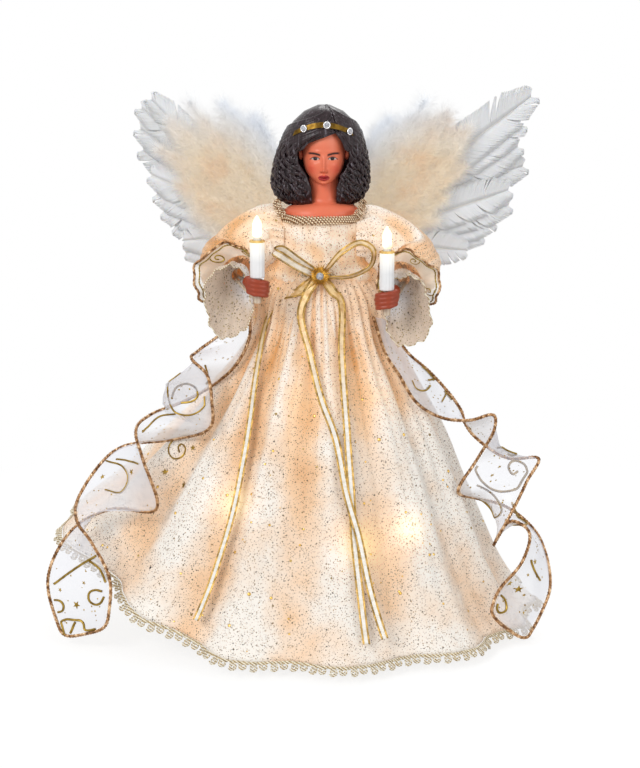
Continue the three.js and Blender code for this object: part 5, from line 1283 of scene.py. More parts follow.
# Under-sleeves
# Bell-shaped under-sleeves of thin ivory voile, sewn into the sleeve's gathers. They hang open below
# the hand, flecked with gold, and a fine gold cord is sewn along the edge.
voile, voile_tree = principled("ivory_voile", Roughness=0.6, Sheen_Weight=0.4)
voile_place = object_place(voile_tree)
voile_tint = read_paint(voile_tree, "tint").outputs["Fac"]
voile_base = shades(voile_tree, voile_tint, (0, (0.95, 0.96, 0.99)), (1, (0.82, 0.67, 0.53)))
for pitch, size, seed in ((0.85, 0.32, 8.8), (1.5, 0.56, 5.3), (4.5, 0.8, 2.2)):
    speck, speck_tone = fleck_mask(voile_tree, voile_place, pitch, size, seed)
    speck_colour = shades(voile_tree, speck_tone, (0.1, (0.09, 0.055, 0.025)), (0.8, (0.5, 0.36, 0.13)))
    voile_base = mixed(voile_tree, speck, voile_base, speck_colour)
colour_in(voile_tree, voile_base)
voile_edge = add_node(voile_tree, "ShaderNodeLayerWeight", {"Blend": 0.4}).outputs["Facing"]
colour_in(voile_tree, ranged(voile_tree, voile_edge, 0.78, 0.97), "Alpha")
relief(voile_tree, threads(voile_tree, 700, "Z", voile_place), 0.05)


def under_sleeve_rings(hand, rows, columns):
    side, centre = fists[hand]
    along = unit(centre - elbows[hand])
    start = cinch(hand) - along * 1.6
    mouth = centre - along * 9.75 + (side * (12.5 if side < 0 else 8), 0, -11)
    t = np.linspace(0, 1, rows)[:, None]
    a = round_angles(columns)[None, :]
    centres = lerp(start, mouth, t)
    ways = unit(along + np.concatenate([0 * t, 0 * t, t / 4], 1))
    wave = (1 + np.cos(4 * a + 1)) / 2 + 0.35 * np.sin(11 * a + 2 * t) + 0.2 * np.sin(19 * a)
    wrist = 4.4 * (1 - ease(t / 0.1))
    wide, tall = (lerp(8.1, open_to, ease(t)) - 1.8 * ease(t) * wave - wrist for open_to in (15.5, 21.5))
    return round_path(centres, ways, wide, tall, a)


bell_rows, bell_columns, voile_thickness = 34, 150, 0.25
for hand in fists:
    rings = under_sleeve_rings(hand, bell_rows, bell_columns)
    bell = new_piece(f"{hand}_bell_sleeve", rings.reshape(-1, 3), grid_faces(bell_rows, bell_columns, True), voile)
    from_hand = np.linalg.norm((rings.reshape(-1, 3) - fists[hand][1]) * (1, 0, 1), axis=1)
    painted(bell, "tint", ease((from_hand - 8) / 12))
    as_cloth(bell, voile_thickness)
    edge = strand(rings[-1], 0.35, 6, closed=True)
    hem = new_piece(f"{hand}_bell_hem", *edge, gimp_gold)
    ridden(hem, "gold_cord")
    ridden(bell, "lining_cotton", f"{hand}_under_sleeve")

# Sheer cuffs
# A ruffle of stiff sheer organza flares from each cinch, edged with a twisted copper cord and printed
# with gold scrolls.


def organza(name, body, solidity):
    """Sheer cloth: glassy crossed threads with a faint sheen, more solid where it is seen edge on."""
    paint, tree = principled(name, Roughness=0.35, Sheen_Weight=0.6, Sheen_Roughness=0.3, Specular_IOR_Level=0.6)
    place = object_place(tree)
    tinted(tree, grain(tree, 70, 3, place), (0.3, body), (0.7, tuple(min(1, v * 1.06) for v in body)))
    edge_on = add_node(tree, "ShaderNodeLayerWeight", {"Blend": 0.35}).outputs["Facing"]
    solid = ranged(tree, edge_on, solidity, 0.95)
    crossed = threads(tree, 1100, "DIAGONAL", place, 0.6)
    colour_in(tree, maths(tree, "MULTIPLY_ADD", crossed, 0.12, solid), "Alpha")
    return paint


def twisted_cord(path, radius, closed=False, pitch=2.4, strands=3):
    """A cord of strands laid round each other along a path of points."""
    path = np.asarray(path, float)
    along, across = carried(path, closed)
    lift = np.cross(across, along)
    step = np.linalg.norm(np.diff(path, axis=0, append=path[:1] if closed else path[-1:]), axis=1)
    run = np.concatenate([[0], np.cumsum(step)[:-1]])
    turns = max(1, round(step.sum() / (pitch * strands)))
    shells = []
    for k in range(strands):
        angle = (run / max(step.sum(), 1e-6) * turns + k / strands)[:, None] * full_turn
        laid = path + (across * np.cos(angle) + lift * np.sin(angle)) * radius * 0.52
        shells.append(strand(laid, radius * 0.52, 5, closed=closed))
    return joined_shells(*shells)


def evenly(path, pitch, closed=False):
    """A path resampled to an even pitch."""
    path = np.asarray(path, float)
    if closed:
        path = np.concatenate([path, path[:1]])
    run = path_run(path)
    count = max(4, int(run[-1] / pitch))
    at = np.linspace(0, run[-1], count, endpoint=not closed)
    return np.stack([np.interp(at, run, path[:, k]) for k in range(3)], -1)


warm_sheer = organza("warm_organza", (0.98, 0.9, 0.8), 0.46)
cord_copper, cord_tree = principled("copper_cord", Metallic=0.75, Roughness=0.34)
cord_tones = (0.34, (0.12, 0.05, 0.018)), (0.5, (0.4, 0.21, 0.09)), (0.68, (0.82, 0.6, 0.38))
tinted(cord_tree, grain(cord_tree, 420), *cord_tones)
relief(cord_tree, grain(cord_tree, 2600, 2), 0.08)
scroll_gold = gilt("scroll_gold", (0.5, 0.36, 0.08), (0.22, 0.15, 0.03), 0.4)
cuff_wrist_radius, cuff_radius, cuff_waves, cuff_wave_depth, cuff_reach = 11.9, 19, 5, 2.5, 2


def cuff_point(hand, a, t):
    """A place on a cuff: a turns round the wrist and t runs out to its edge."""
    side, centre = fists[hand]
    along = unit(centre - elbows[hand])
    across, drop = arm_sides(along)
    a, t = (np.asarray(v, float)[..., None] for v in np.broadcast_arrays(a, t))
    start = cinch(hand) + along * 0.6
    radius = lerp(cuff_wrist_radius, cuff_radius, t) + 0.5 * np.sin(11 * a) * t
    wave = np.sin(cuff_waves * a) * cuff_wave_depth * t + 0.5 * np.sin(13 * a + 4 * t) * t
    middle = start + along * (cuff_reach * t) + np.array([side * (9 if side < 0 else 4), 0, 0]) * t
    return middle + across * np.cos(a) * radius + drop * np.sin(a) * radius + along * wave


def spiral(at, radius, turns, wire, way, start):
    """A scroll on a surface, which unwinds from its heart one way round. at maps flat places."""
    t = np.linspace(0, 1, 46)
    turn = start + way * t * turns * full_turn
    reach = radius * (0.12 + 0.88 * t**0.8)
    return strand(at(np.cos(turn) * reach, np.sin(turn) * reach), wire, 5, 0.5)


cuff_rows, cuff_columns = 22, 180
rim_cord_radius, inner_cord_radius, cord_step = 0.8, 0.5, 0.8
scroll_radius, scroll_turns, scroll_wire = 3.2, 1.3, 0.45
for hand in fists:
    a = round_angles(cuff_columns)[None, :]
    t = np.linspace(0, 1, cuff_rows)[:, None]
    rings = cuff_point(hand, a, t)
    faces = grid_faces(cuff_rows, cuff_columns, True)
    cuff = new_piece(f"{hand}_organza_cuff", rings.reshape(-1, 3), faces, warm_sheer)
    a = round_angles(400)
    rim, inner_line = (evenly(cuff_point(hand, a, t), cord_step, True) for t in (1.0, 0.8))
    rim = new_piece(f"{hand}_cuff_cord", *twisted_cord(rim, rim_cord_radius, True), cord_copper)
    scrolls = [twisted_cord(inner_line, inner_cord_radius, True, 1.6, 2)]
    for turn, way in ((0.35, 1), (1.5, -1), (2.75, 1), (4.0, -1), (5.2, 1)):
        on_cuff = lambda u, v, turn=turn: cuff_point(hand, turn + u / 16, 0.45 + v / 9)
        scrolls.append(spiral(on_cuff, scroll_radius, scroll_turns, scroll_wire, way, turn))
    scrolls = new_piece(f"{hand}_cuff_scrolls", *joined_shells(*scrolls), scroll_gold)
    ridden(rim, "gold_cord")
    ridden(scrolls, "gold_cord")
    ridden(cuff, "sheer_organza", f"{hand}_cuff")

# Ribbon, bow and brooch
# Gold lame ribbon with a corded edge down each side is tied at the waist in a bow with three long
# tails. A stamped sunburst with a clear stone covers the knot.
ribbon_width = 4.2


def ribbon_shells(centres, across, width=ribbon_width):
    """A ribbon's thin pleated band and its corded edges, along centres with across its width."""
    along = unit(np.gradient(centres, axis=0))
    across = unit(across - along * np.sum(across * along, -1, keepdims=True))
    face = np.cross(along, across)
    thickness = 0.2
    s = np.array([-0.9, -0.6, -0.25, 0, 0.25, 0.6, 0.9])
    crown = np.array([0.05, 0.1, 0.02, 0.12, 0.02, 0.1, 0.05])
    width = np.broadcast_to(width, len(centres))[:, None]
    upper = centres[:, None] + across[:, None] * (s * width / 2)[..., None]
    upper = upper + face[:, None] * (crown + 0.08)[None, :, None]
    lower = upper[:, ::-1] - face[:, None] * thickness
    rings = np.concatenate([upper, lower], 1)
    rows, columns = rings.shape[:2]
    band = (rings.reshape(-1, 3), tube_faces(rows, columns))
    cords = []
    for place in (-1, -0.7, 0.7, 1):
        radius = 0.4 if abs(place) == 1 else 0.22
        bead = radius * (1 + 0.22 * np.cos(np.arange(len(centres)) * math.pi))
        cords.append(strand(centres + across * place * (width / 2 - 0.35) + face * 0.12, bead, 6))
    return band, joined_shells(*cords)


lame, lame_tree = principled("gold_lame", Metallic=0.2, Roughness=0.34, Sheen_Weight=0.3)
gold_share = read_paint(lame_tree, "gold").outputs["Fac"]
cream_weave = shades(lame_tree, grain(lame_tree, 500), (0.3, (0.8, 0.74, 0.62)), (0.6, (0.97, 0.95, 0.9)))
gold_weave = shades(lame_tree, grain(lame_tree, 300), (0.3, (0.62, 0.34, 0.1)), (0.6, (0.93, 0.68, 0.34)))
colour_in(lame_tree, mixed(lame_tree, gold_share, cream_weave, gold_weave))
relief(lame_tree, threads(lame_tree, 380, "Z", wander=2.0), 0.08)
ribbon_edge = gilt("ribbon_edge_gold", (0.66, 0.42, 0.12), (0.2, 0.12, 0.03), 0.34, 900, 0.06)
# How far each tail lies off the skirt, and its route down it: azimuth in degrees and drop.
tails = {
    "left": (1.2, [
        (247, 0.03), (222, 0.07), (218, 0.12), (226, 0.24), (235, 0.42), (238, 0.6), (237, 0.79), (236, 0.94),
    ]),
    "middle": (2.3, [
        (257, 0.03), (253, 0.08), (263, 0.19), (271, 0.32), (277, 0.42), (280, 0.57), (283, 0.68),
        (285, 0.82), (287, 0.94),
    ]),
    "right": (1.2, [
        (284, 0.03), (291, 0.06), (285, 0.19), (282.5, 0.42), (282, 0.55), (281.5, 0.68), (282, 0.84), (282, 0.95),
    ]),
}  # fmt: skip
belt_thickness, brooch_height = 1.4, 210
belt_front = waist_half_depth + bodice_cloth + touch_gap + belt_thickness * 1.35
bow_knot = np.array([0, -belt_front - touch_gap - ribbon_width / 2, brooch_height])
for name, (lift, route) in tails.items():
    t = np.linspace(0, 1, 320)
    guide = curve_through([(math.radians(a), drop, 0) for a, drop in route], t)
    a, drop = guide[:, 0], guide[:, 1]
    centres = skirt_point(a, drop, lift + 0.35 * np.sin(t * 21) * t, 0 * a)
    # The tail comes out from under the brooch before it lies on the skirt.
    start = bow_knot + (0.12 * (centres[0][0]), 1.4, -1.5)
    between = lerp(start, centres[0], 0.55) + (0, -1.0, 0.6)
    lead_in = curve_through([start, between, centres[0], centres[4]], np.linspace(0, 0.66, 16))
    centres = np.concatenate([lead_in[:-1], centres])
    rounded_off(centres[:21], 8)
    turn = np.concatenate([np.full(15, a[0]), a])
    sideways = np.stack([-np.sin(turn), np.cos(turn), 0 * turn], -1)
    widths = ribbon_width * (1 + 0.35 * ease(1 - np.linspace(0, 4, len(centres))))
    band, edges = ribbon_shells(centres, sideways, widths)
    tail = new_piece(f"ribbon_{name}_tail", *band, lame)
    painted(tail, "gold", ease((band[0][:, 2] - 120) / 80))
    edges = new_piece(f"ribbon_{name}_edges", *edges, ribbon_edge)
    length = np.linalg.norm(np.diff(centres, axis=0), axis=1).sum() * mm
    route = (centres[::4] * mm).tolist() + [(centres[-1] * mm).tolist()]
    ridden(edges, "gold_ribbon")
    ridden(tail, "gold_ribbon", f"ribbon_tail_{name}")

bow_reach, loop_points = 26, 180
# Each loop's way round, from the knot and back: shares of the reach out, up and forward.
loops = {
    "left": [
        (-0.12, 0, 0.02), (-0.5, 0.2, 0.12), (-0.86, 0.43, 0.14), (-1, 0.52, 0.04), (-0.86, 0.57, -0.02),
        (-0.5, 0.33, -0.03), (-0.13, 0.06, -0.06),
    ],
    "right": [
        (0.12, 0.08, 0), (0.5, 0.52, 0.06), (0.9, 0.72, 0.08), (1.16, 0.56, 0.06), (1.12, 0.22, 0.04),
        (0.7, -0.02, 0.04), (0.14, -0.06, 0),
    ],
}  # fmt: skip
for name, shares in loops.items():
    nodes = bow_knot + np.array([(out, -forward, up) for out, up, forward in shares]) * bow_reach
    centres = curve_through(nodes, np.linspace(0, 1, loop_points))
    across = np.tile([0.5, 0, 0.86], (loop_points, 1))
    if name == "right":
        # This loop stands open, and its ribbon leans outward, so its face shows.
        across = unit(centres - centres.mean(0)) * (0.6, 0, 0.6) + (0, 0.8, 0)
    band, edges = ribbon_shells(centres, across, ribbon_width + 0.4)
    loop = new_piece(f"bow_{name}_loop", *band, lame)
    painted(loop, "gold", np.full(len(band[0]), 0.25 if name == "left" else 0.8))
    ridden(new_piece(f"bow_{name}_edges", *edges, ribbon_edge), "gold_ribbon")
    ridden(loop, "gold_ribbon", f"bow_loop_{name}")


def sunburst():
    """Two tiers of narrow pointed rays round a beaded cup that holds the stone."""
    bead_ring, bead_wire, bead, beads = 2.45, 0.34, 0.14, 14
    front = bow_knot[1] - bow_reach * 0.03 - ribbon_width / 2 - touch_gap
    middle = np.array([0, front, brooch_height])
    shells = []
    for tier, (count, reach, out) in enumerate(((26, 7.0, 0.5), (26, 5.6, 1.3))):
        for k in range(count):
            turn = (k + 0.5 * tier) / count * full_turn
            way = np.array([math.cos(turn), 0, math.sin(turn)])
            r = np.array([1.6, 3.0, 4.4, reach * (1.0 if k % 2 else 0.88)])[:, None]
            forward = (out + np.array([0.2, 0.35, 0.25, -0.25]))[:, None]
            path = middle + way * r - np.array([0, 1, 0]) * forward
            shells.append(strand(path, np.array([0.4, 0.5, 0.44, 0.16]), 5, 0.7))
    plate = turned([(2.2, 1.9), (2.7, 1.5), (2.9, 0.9), (3.4, 0.5), (3.4, 0.1), (1.0, 0)], np.zeros(3), 40)
    flat = plate[0][:, [0, 2, 1]] * (1, -1, 1) + middle
    shells.append((flat, plate[1]))
    a = round_angles(44)[:, None]
    ring = middle + (np.array([1, 0, 0]) * np.cos(a) + np.array([0, 0, 1]) * np.sin(a)) * bead_ring - (0, 2.2, 0)
    shells.append(strand(ring, bead_wire + bead * np.cos(a[:, 0] * beads), 6, closed=True))
    return joined_shells(*shells)


brooch_gold = gilt("brooch_gold", (0.9, 0.54, 0.1), (0.3, 0.13, 0.02), 0.26, 500, 0.04)
brooch = new_piece("sunburst_brooch", *sunburst(), brooch_gold)
ridden(brooch, "gold_metal", "brooch")

# Drapes
# A strip of sheer organza hangs down each side of the skirt and folds over on itself. It is edged with
# a braided copper and gold cord, and printed with gold scrolls, stars and dots.
# Each row: azimuth, drop and stand-off of the inner edge, the same of the outer edge, and the bulge.
drape_stand = 20
drape_rows = {
    "left": [
        (190, 0.07, 0.04, 196, 0.07, 0.43, 0), (204, 0.1, 0.58, 194, 0.19, 0.82, 0),
        (202, 0.21, 0.15, 192, 0.27, 1.19, 0), (205, 0.29, 0.15, 203, 0.27, 1.47, 0.4),
        (194, 0.4, 0.15, 210, 0.31, 1, 1.3), (190, 0.47, 0.45, 214, 0.39, 0.58, 1),
        (194, 0.5, 1.25, 218, 0.45, 0.45, 0), (201, 0.52, 1.68, 195, 0.59, 0.15, 0),
        (208, 0.58, 1.45, 191, 0.64, 1.29, 0), (214, 0.72, 0.58, 195, 0.79, 1.48, 0),
        (202, 0.79, 0.92, 203, 0.81, 1.72, 0), (197, 0.9, 1.11, 207, 0.85, 1.42, 0),
        (199, 1.05, 0.75, 212, 0.95, 0.58, 0), (204, 1.21, -1.65, 214, 1.09, -0.59, 0),
    ],
    "right": [
        (326, 0.11, 0.04, 338, 0.12, 0.1, 0), (319, 0.21, 0.15, 345, 0.22, 0.12, 0),
        (324, 0.27, 0.15, 350, 0.28, 0.41, 0), (329, 0.35, 0.15, 353, 0.36, 0.67, 0),
        (343, 0.41, 0.37, 355, 0.41, 0.72, 0), (341, 0.41, 1.15, 353, 0.44, 0.73, 0),
        (340, 0.39, 1.96, 351, 0.48, 0.93, 0), (338, 0.43, 1.88, 349, 0.53, 1.56, 0),
        (342, 0.53, 0.85, 349, 0.53, 2.41, 0), (334, 0.61, 0.15, 345, 0.59, 1.87, 0),
        (347, 0.66, 0.2, 339, 0.67, 1.25, 0), (348, 0.69, 0.88, 341, 0.78, 0.3, 0),
        (352, 0.76, 1.39, 339, 0.7, 1.2, 0), (348, 0.82, 1.52, 339, 0.73, 1.63, 0),
        (343, 0.9, 1.3, 335, 0.81, 1.26, 0), (337, 0.96, 0.76, 327, 0.88, 0.58, 0),
        (328, 1.01, 0.22, 324, 0.94, 0.12, 0),
    ],
}  # fmt: skip
# Printed scrolls, as places across and up in the front view, and stars, each with its radius.
drape_scrolls = {
    "left": [
        [(-87.4, 13.0), (-89.5, 4.1), (-90.0, -7.7), (-85.9, -16.6), (-77.0, -18.4), (-69.3, -14.2), (-66.4, -7.1)],
        [(-87.9, -8.7), (-85.4, -2.1), (-78.8, 0.2), (-73.2, -3.0), (-72.7, -7.7), (-76.9, -10.6), (-82.6, -11.1)],
        [(-85.9, -17.8), (-94.9, -19.1), (-101.5, -24.8), (-105.2, -28.6)],
        [(-127.1, -45.6), (-116.7, -49.2), (-113.7, -56.9), (-118.5, -64.6), (-127.1, -62.8)],
        [(-120.4, -44.7), (-114.3, -45.6), (-107.2, -47.5)],
        [(-157.6, -118.5), (-150.5, -113.2), (-143.4, -108.1), (-131.8, -101.4)],
        [(-137.4, -104.3), (-130.9, -109.0), (-128.6, -113.2), (-127.1, -117.3)],
        [
            (-128.1, -126.2), (-129.9, -130.0), (-133.7, -130.7), (-136.9, -128.0), (-136.8, -123.8),
            (-133.3, -121.7), (-129.4, -123.0),
        ],
        [(-157.3, -128.0), (-154.0, -128.3), (-151.7, -131.2), (-152.5, -134.5), (-155.8, -135.2)],
        [
            (-151.7, -149.9), (-154.0, -145.1), (-154.5, -141.2), (-149.9, -139.2), (-145.7, -139.8),
            (-141.3, -140.2), (-139.8, -142.8), (-139.4, -145.9), (-132.7, -146.9),
        ],
        [(-147.9, -147.8), (-146.3, -144.0), (-145.1, -141.2)],
        [(-68.1, 11.3), (-66.4, 5.3), (-65.8, -2.4)],
    ],
    "right": [
        [(62.9, 13.2), (67.5, 12.7), (70.5, 10.1), (71.1, 5.9), (68.1, 3.0), (64.0, 1.8)],
        [(77.6, -0.6), (75.2, -4.1), (74.1, -7.1), (72.0, -10.7)],
        [(74.6, -5.9), (78.2, -7.1), (81.8, -6.5)],
        [(54.5, 1.8), (56.9, -3.0), (62.2, -4.1), (65.2, -1.2)],
        [
            (91.4, -47.4), (92.4, -52.1), (95.0, -56.6), (100.1, -61.6), (106.0, -63.9), (112.0, -63.7),
            (117.1, -62.1), (121.4, -58.6), (123.5, -54.7), (122.6, -50.4), (120.7, -47.4), (114.3, -45.6),
            (111.6, -49.2), (114.3, -53.8), (117.1, -52.0),
        ],
        [
            (93.2, -60.2), (99.5, -63.4), (104.2, -67.6), (107.9, -74.9), (106.0, -78.2), (102.4, -79.5),
            (95.0, -77.7), (92.2, -74.0), (95.9, -71.3), (98.7, -74.0),
        ],
        [(118.9, -73.1), (122.0, -77.0), (123.5, -82.3), (119.7, -84.1), (115.2, -84.1), (109.7, -80.5)],
        [(105.1, -38.2), (109.0, -37.0), (113.4, -37.3), (117.1, -40.9), (114.3, -42.7), (111.6, -41.9)],
        [
            (106.0, -124.5), (108.4, -126.2), (109.7, -128.2), (110.6, -133.7), (108.4, -135.4),
            (106.0, -135.5), (104.6, -132.7), (105.1, -130.0),
        ],
        [(125.0, -104.3), (126.8, -110.2), (130.3, -116.1)],
    ],
}  # fmt: skip
drape_stars = {
    "left": [
        (-144.1, -130.7, 2.5), (-112.0, -52.1, 1.8), (-129.1, -55.1, 1.8), (-154.0, -122.0, 1.3), (-139.8, -117.9, 1.2),
    ],
    "right": [
        (117.6, -121.4, 3.0), (127.5, -105.2, 1.8), (109.4, -115.0, 2.2), (87.7, -27.3, 1.6), (101.9, -53.9, 1.3),
        (106.6, -49.2, 1.2), (123.2, -113.2, 1.2), (120.9, -125.0, 1.2),
    ],
}  # fmt: skip


def drape_surface(rows):
    """The surface of a drape: at(s, t) with s across it and t down it, both from 0 to 1."""
    table = np.array(rows, float)
    inner = skirt_point(np.radians(table[:, 0]), table[:, 1], table[:, 2] * drape_stand, 0)
    outer = skirt_point(np.radians(table[:, 3]), table[:, 4], table[:, 5] * drape_stand, 0)

    def at(s, t, lift=0.0):
        s, t = np.broadcast_arrays(np.asarray(s, float), np.clip(np.asarray(t, float), 0, 1))
        shape = s.shape
        s, t = s.ravel(), t.ravel()
        bulge = np.interp(t * (len(table) - 1), np.arange(len(table)), table[:, 6]) * drape_stand
        flat = lerp(curve_through(inner, t), curve_through(outer, t), s[:, None])
        radial = unit(flat * (1, 1, 0))
        inside = 4 * s * (1 - s)
        ripple = 0.8 * np.sin(34 * t + 5 * s) * np.sin(np.pi * s) + 0.4 * np.sin(90 * t + 3 * s)
        return (flat + radial * (inside * bulge + inside**0.5 * ripple + lift)[:, None]).reshape(*shape, 3)

    return at


def printed(surface, s, t, lift=0.0):
    """Maps flat places in millimetres round one spot of a drape onto its surface."""
    step = 0.004
    here = surface(s, t)
    across = np.linalg.norm(surface(s + step, t) - here) / step
    down = np.linalg.norm(surface(s, t + step) - here) / step
    return lambda u, v: surface(np.clip(s + u / max(across, 8), 0.03, 0.97), t + v / max(down, 60), lift)


def as_seen(points):
    """Where points stand in the front view, in millimetres from the aim at the aim's distance."""
    away = points - np.array(aim) / mm
    ahead = away @ np.array([0, math.cos(camera_rise), -math.sin(camera_rise)])
    up = away @ np.array([0, math.sin(camera_rise), math.cos(camera_rise)])
    scale = camera_distance / (camera_distance + ahead * mm)
    return np.stack([away[..., 0] * scale, up * scale], -1)


def seen_gap(spots, mark):
    """How far spots are from a mark in the front view, a little more for those further back."""
    return ((as_seen(spots) - mark) ** 2).sum(-1) + 0.004 * (spots[:, 1] - spots[:, 1].min())


def drawn_on(spots, marks, wire, behind=-0.15):
    """A raised line on a surface's spots, or behind it, through marks given as places in the front view."""
    marks = np.array(marks, float)
    count = max(6, int(np.linalg.norm(np.diff(marks, axis=0), axis=1).sum() / 0.7))
    line = curve_through(marks, np.linspace(0, 1, count))
    path = rounded_off(spots[seen_gap(spots, line[:, None]).argmin(1)], 5)
    return strand(path + (0, behind, 0), wire, 6, 0.8)


def star(at, radius):
    """A thin five-pointed star laid on a surface."""
    turn = np.arange(10) / 10 * full_turn + 0.3
    reach = np.where(np.arange(10) % 2, 0.42, 1.0) * radius
    rim = at(np.cos(turn) * reach, np.sin(turn) * reach)
    middle = at(np.zeros(1), np.zeros(1))
    normal = unit(np.cross(rim[3] - middle[0], rim[0] - middle[0]))
    points = np.concatenate([rim + normal * 0.12, rim - normal * 0.12, middle + normal * 0.3, middle - normal * 0.3])
    faces = [[k, (k + 1) % 10, 20] for k in range(10)] + [[10 + (k + 1) % 10, 10 + k, 21] for k in range(10)]
    faces += [[k, 10 + k, 10 + (k + 1) % 10, (k + 1) % 10] for k in range(10)]
    return points, faces


def dots(surface, count, rng):
    shells = []
    draws = (rng.uniform(low, high, count) for low, high in ((0.08, 0.92), (0.03, 0.99), (0.22, 0.6)))
    for s, t, size in zip(*draws):
        at = printed(surface, s, t)
        turn = round_angles(7)
        rim = at(np.cos(turn) * size, np.sin(turn) * size)
        middle = rim.mean(0)
        normal = unit(np.cross(rim[2] - middle, rim[0] - middle))
        points = np.concatenate([rim, [middle + normal * 0.25], [middle - normal * 0.25]])
        faces = [[k, (k + 1) % 7, 7] for k in range(7)] + [[(k + 1) % 7, k, 8] for k in range(7)]
        shells.append((points, faces))
    return joined_shells(*shells)


drape_cord_radius, drape_cord_gap, drape_columns, dot_count = 1.15, 0.5, 26, 190
sheer = organza("sheer_organza", (0.82, 0.83, 0.9), 0.27)
print_gold = gilt("print_gold", (0.42, 0.28, 0.06), (0.2, 0.12, 0.02), 0.45)
for seed, (name, rows) in enumerate(drape_rows.items()):
    surface = drape_surface(rows)
    count = 30 * (len(rows) - 1)
    t = np.linspace(0, 1, count)[:, None]
    s = np.linspace(0, 1, drape_columns)[None, :]
    cloth = surface(s, t)
    faces = grid_faces(count, drape_columns, False)
    drape = new_piece(f"{name}_organza_drape", cloth.reshape(-1, 3), faces, sheer)
    # The cord runs down one side, across the end and up the other side.
    side = np.linspace(0, 1, 16 * len(rows))
    cord_seat = drape_cord_radius + drape_cord_gap
    inner, outer = surface(0, side), surface(1, side)
    across = unit(outer - inner)
    end = surface(np.linspace(0.06, 0.94, 12), 1.0)
    below = unit(surface(0.5, 1.0) - surface(0.5, 0.97)) * cord_seat
    route = np.concatenate([inner - across * cord_seat, end + below, (outer + across * cord_seat)[::-1]])
    route = rounded_off(route, 6)
    cord = new_piece(f"{name}_drape_braid", *twisted_cord(evenly(route, 0.7), 1.02, pitch=1.9), cord_copper)
    fine_s, fine_t = np.meshgrid(np.linspace(0.04, 0.96, 60), np.linspace(0, 1, 800))
    spots = surface(fine_s, fine_t, 0.1).reshape(-1, 3)
    prints = []
    for k, marks in enumerate(drape_scrolls[name]):
        # These are printed on the cloth's back, and show through it.
        veiled = k < 8 if name == "right" else k in (3, 4)
        bold = veiled or marks[0][1] < -100
        prints.append(drawn_on(spots, marks, 0.85 if bold else 0.65, 0.9 if veiled else -0.15))
    for across, up, radius in drape_stars[name]:
        nearest = seen_gap(spots, (across, up)).argmin()
        prints.append(star(printed(surface, fine_s.ravel()[nearest], fine_t.ravel()[nearest]), radius))
    prints = joined_shells(*prints, dots(surface, dot_count, np.random.default_rng(seed)))
    prints = new_piece(f"{name}_drape_prints", *prints, print_gold, smooth=False)
    width = round(float(np.linalg.norm(np.diff(cloth, axis=1), axis=-1).sum(1).mean() * mm), 3)
    length = round(float(np.linalg.norm(np.diff(cloth[:, drape_columns // 2], axis=0), axis=-1).sum() * mm), 3)
    ridden(cord, "gold_cord", f"{name}_drape_cord")
    ridden(prints, "gold_cord")
    ridden(drape, "sheer_organza", f"{name}_drape")

# The left drape's last scroll and stars are printed where it lies flat on the skirt.
fine_a, fine_drop = np.meshgrid(np.radians(np.linspace(190, 240, 240)), np.linspace(0.3, 0.75, 240))
spots = on_satin(fine_a, fine_drop, 0.2).reshape(-1, 3)
spray = [drawn_on(spots, [
    (-69.2, -29.6), (-76.8, -30.2), (-84.4, -31.5), (-89.1, -35.9), (-89.5, -41.0), (-86.3, -44.4), (-81.5, -42.9),
    (-79.6, -38.2), (-81.9, -35.3), (-84.0, -37.2), (-83.2, -40.4),
], 0.6)]  # fmt: skip
for across, up, radius in ((-86.7, -25.5, 2.0), (-75.2, -37.7, 2.0), (-91.8, -52.0, 2.2), (-80.6, -59.8, 2.2)):
    nearest = ((as_seen(spots) - (across, up)) ** 2).sum(-1).argmin()
    a, drop = fine_a.ravel()[nearest], fine_drop.ravel()[nearest]
    spread = np.linalg.norm(spots[nearest][:2])
    spray.append(star(lambda u, v: skirt_point(a + u / spread, drop + v / 225, gathers(a, drop) - 0.8), radius))
ridden(new_piece("skirt_gold_prints", *joined_shells(*spray), print_gold, smooth=False), "gold_cord")

# Wings
# Each wing is a fan of long white goose feathers in front of a stiff card that is glued to the gown's
# back, with a bank of marabou down in front of it.
wing_root_out, wing_height, feather_width, plume_width, down_top = 9, 224, 26, 31, 308
wing_span = {"left": 128, "right": 147}
# Each feather or plume, from the top down: its length as a share of the span, its rise in degrees, and
# its width as a share of the full one.
long_feathers = {
    "left": [
        (0.98, 42, 0.8), (0.99, 38, 0.9), (0.94, 33, 1), (0.88, 28, 1), (0.79, 22, 1), (0.74, 16, 1),
        (0.69, 10, 1), (0.63, 4, 1), (0.58, -2, 0.9), (0.58, -8, 0.8), (0.53, -12, 0.7),
    ],
    "right": [
        (1, 35.5, 1.1), (0.9, 31, 1), (0.85, 26, 1), (0.84, 20, 1), (0.75, 15, 1), (0.74, 10, 1),
        (0.67, 5, 1), (0.62, 0, 1), (0.55, -6, 0.9), (0.47, -11, 0.8),
    ],
}  # fmt: skip
down_plumes = {
    "left": [(0.64, 73, 0.8), (0.78, 63, 1), (0.88, 53, 1), (0.92, 43, 1), (0.81, 33, 1), (0.7, 23, 1), (0.55, 13, 1)],
    "right": [(0.56, 71, 0.8), (0.7, 61, 1), (0.78, 51, 1), (0.75, 41, 1), (0.64, 31, 1), (0.53, 21, 1), (0.43, 11, 1)],
}
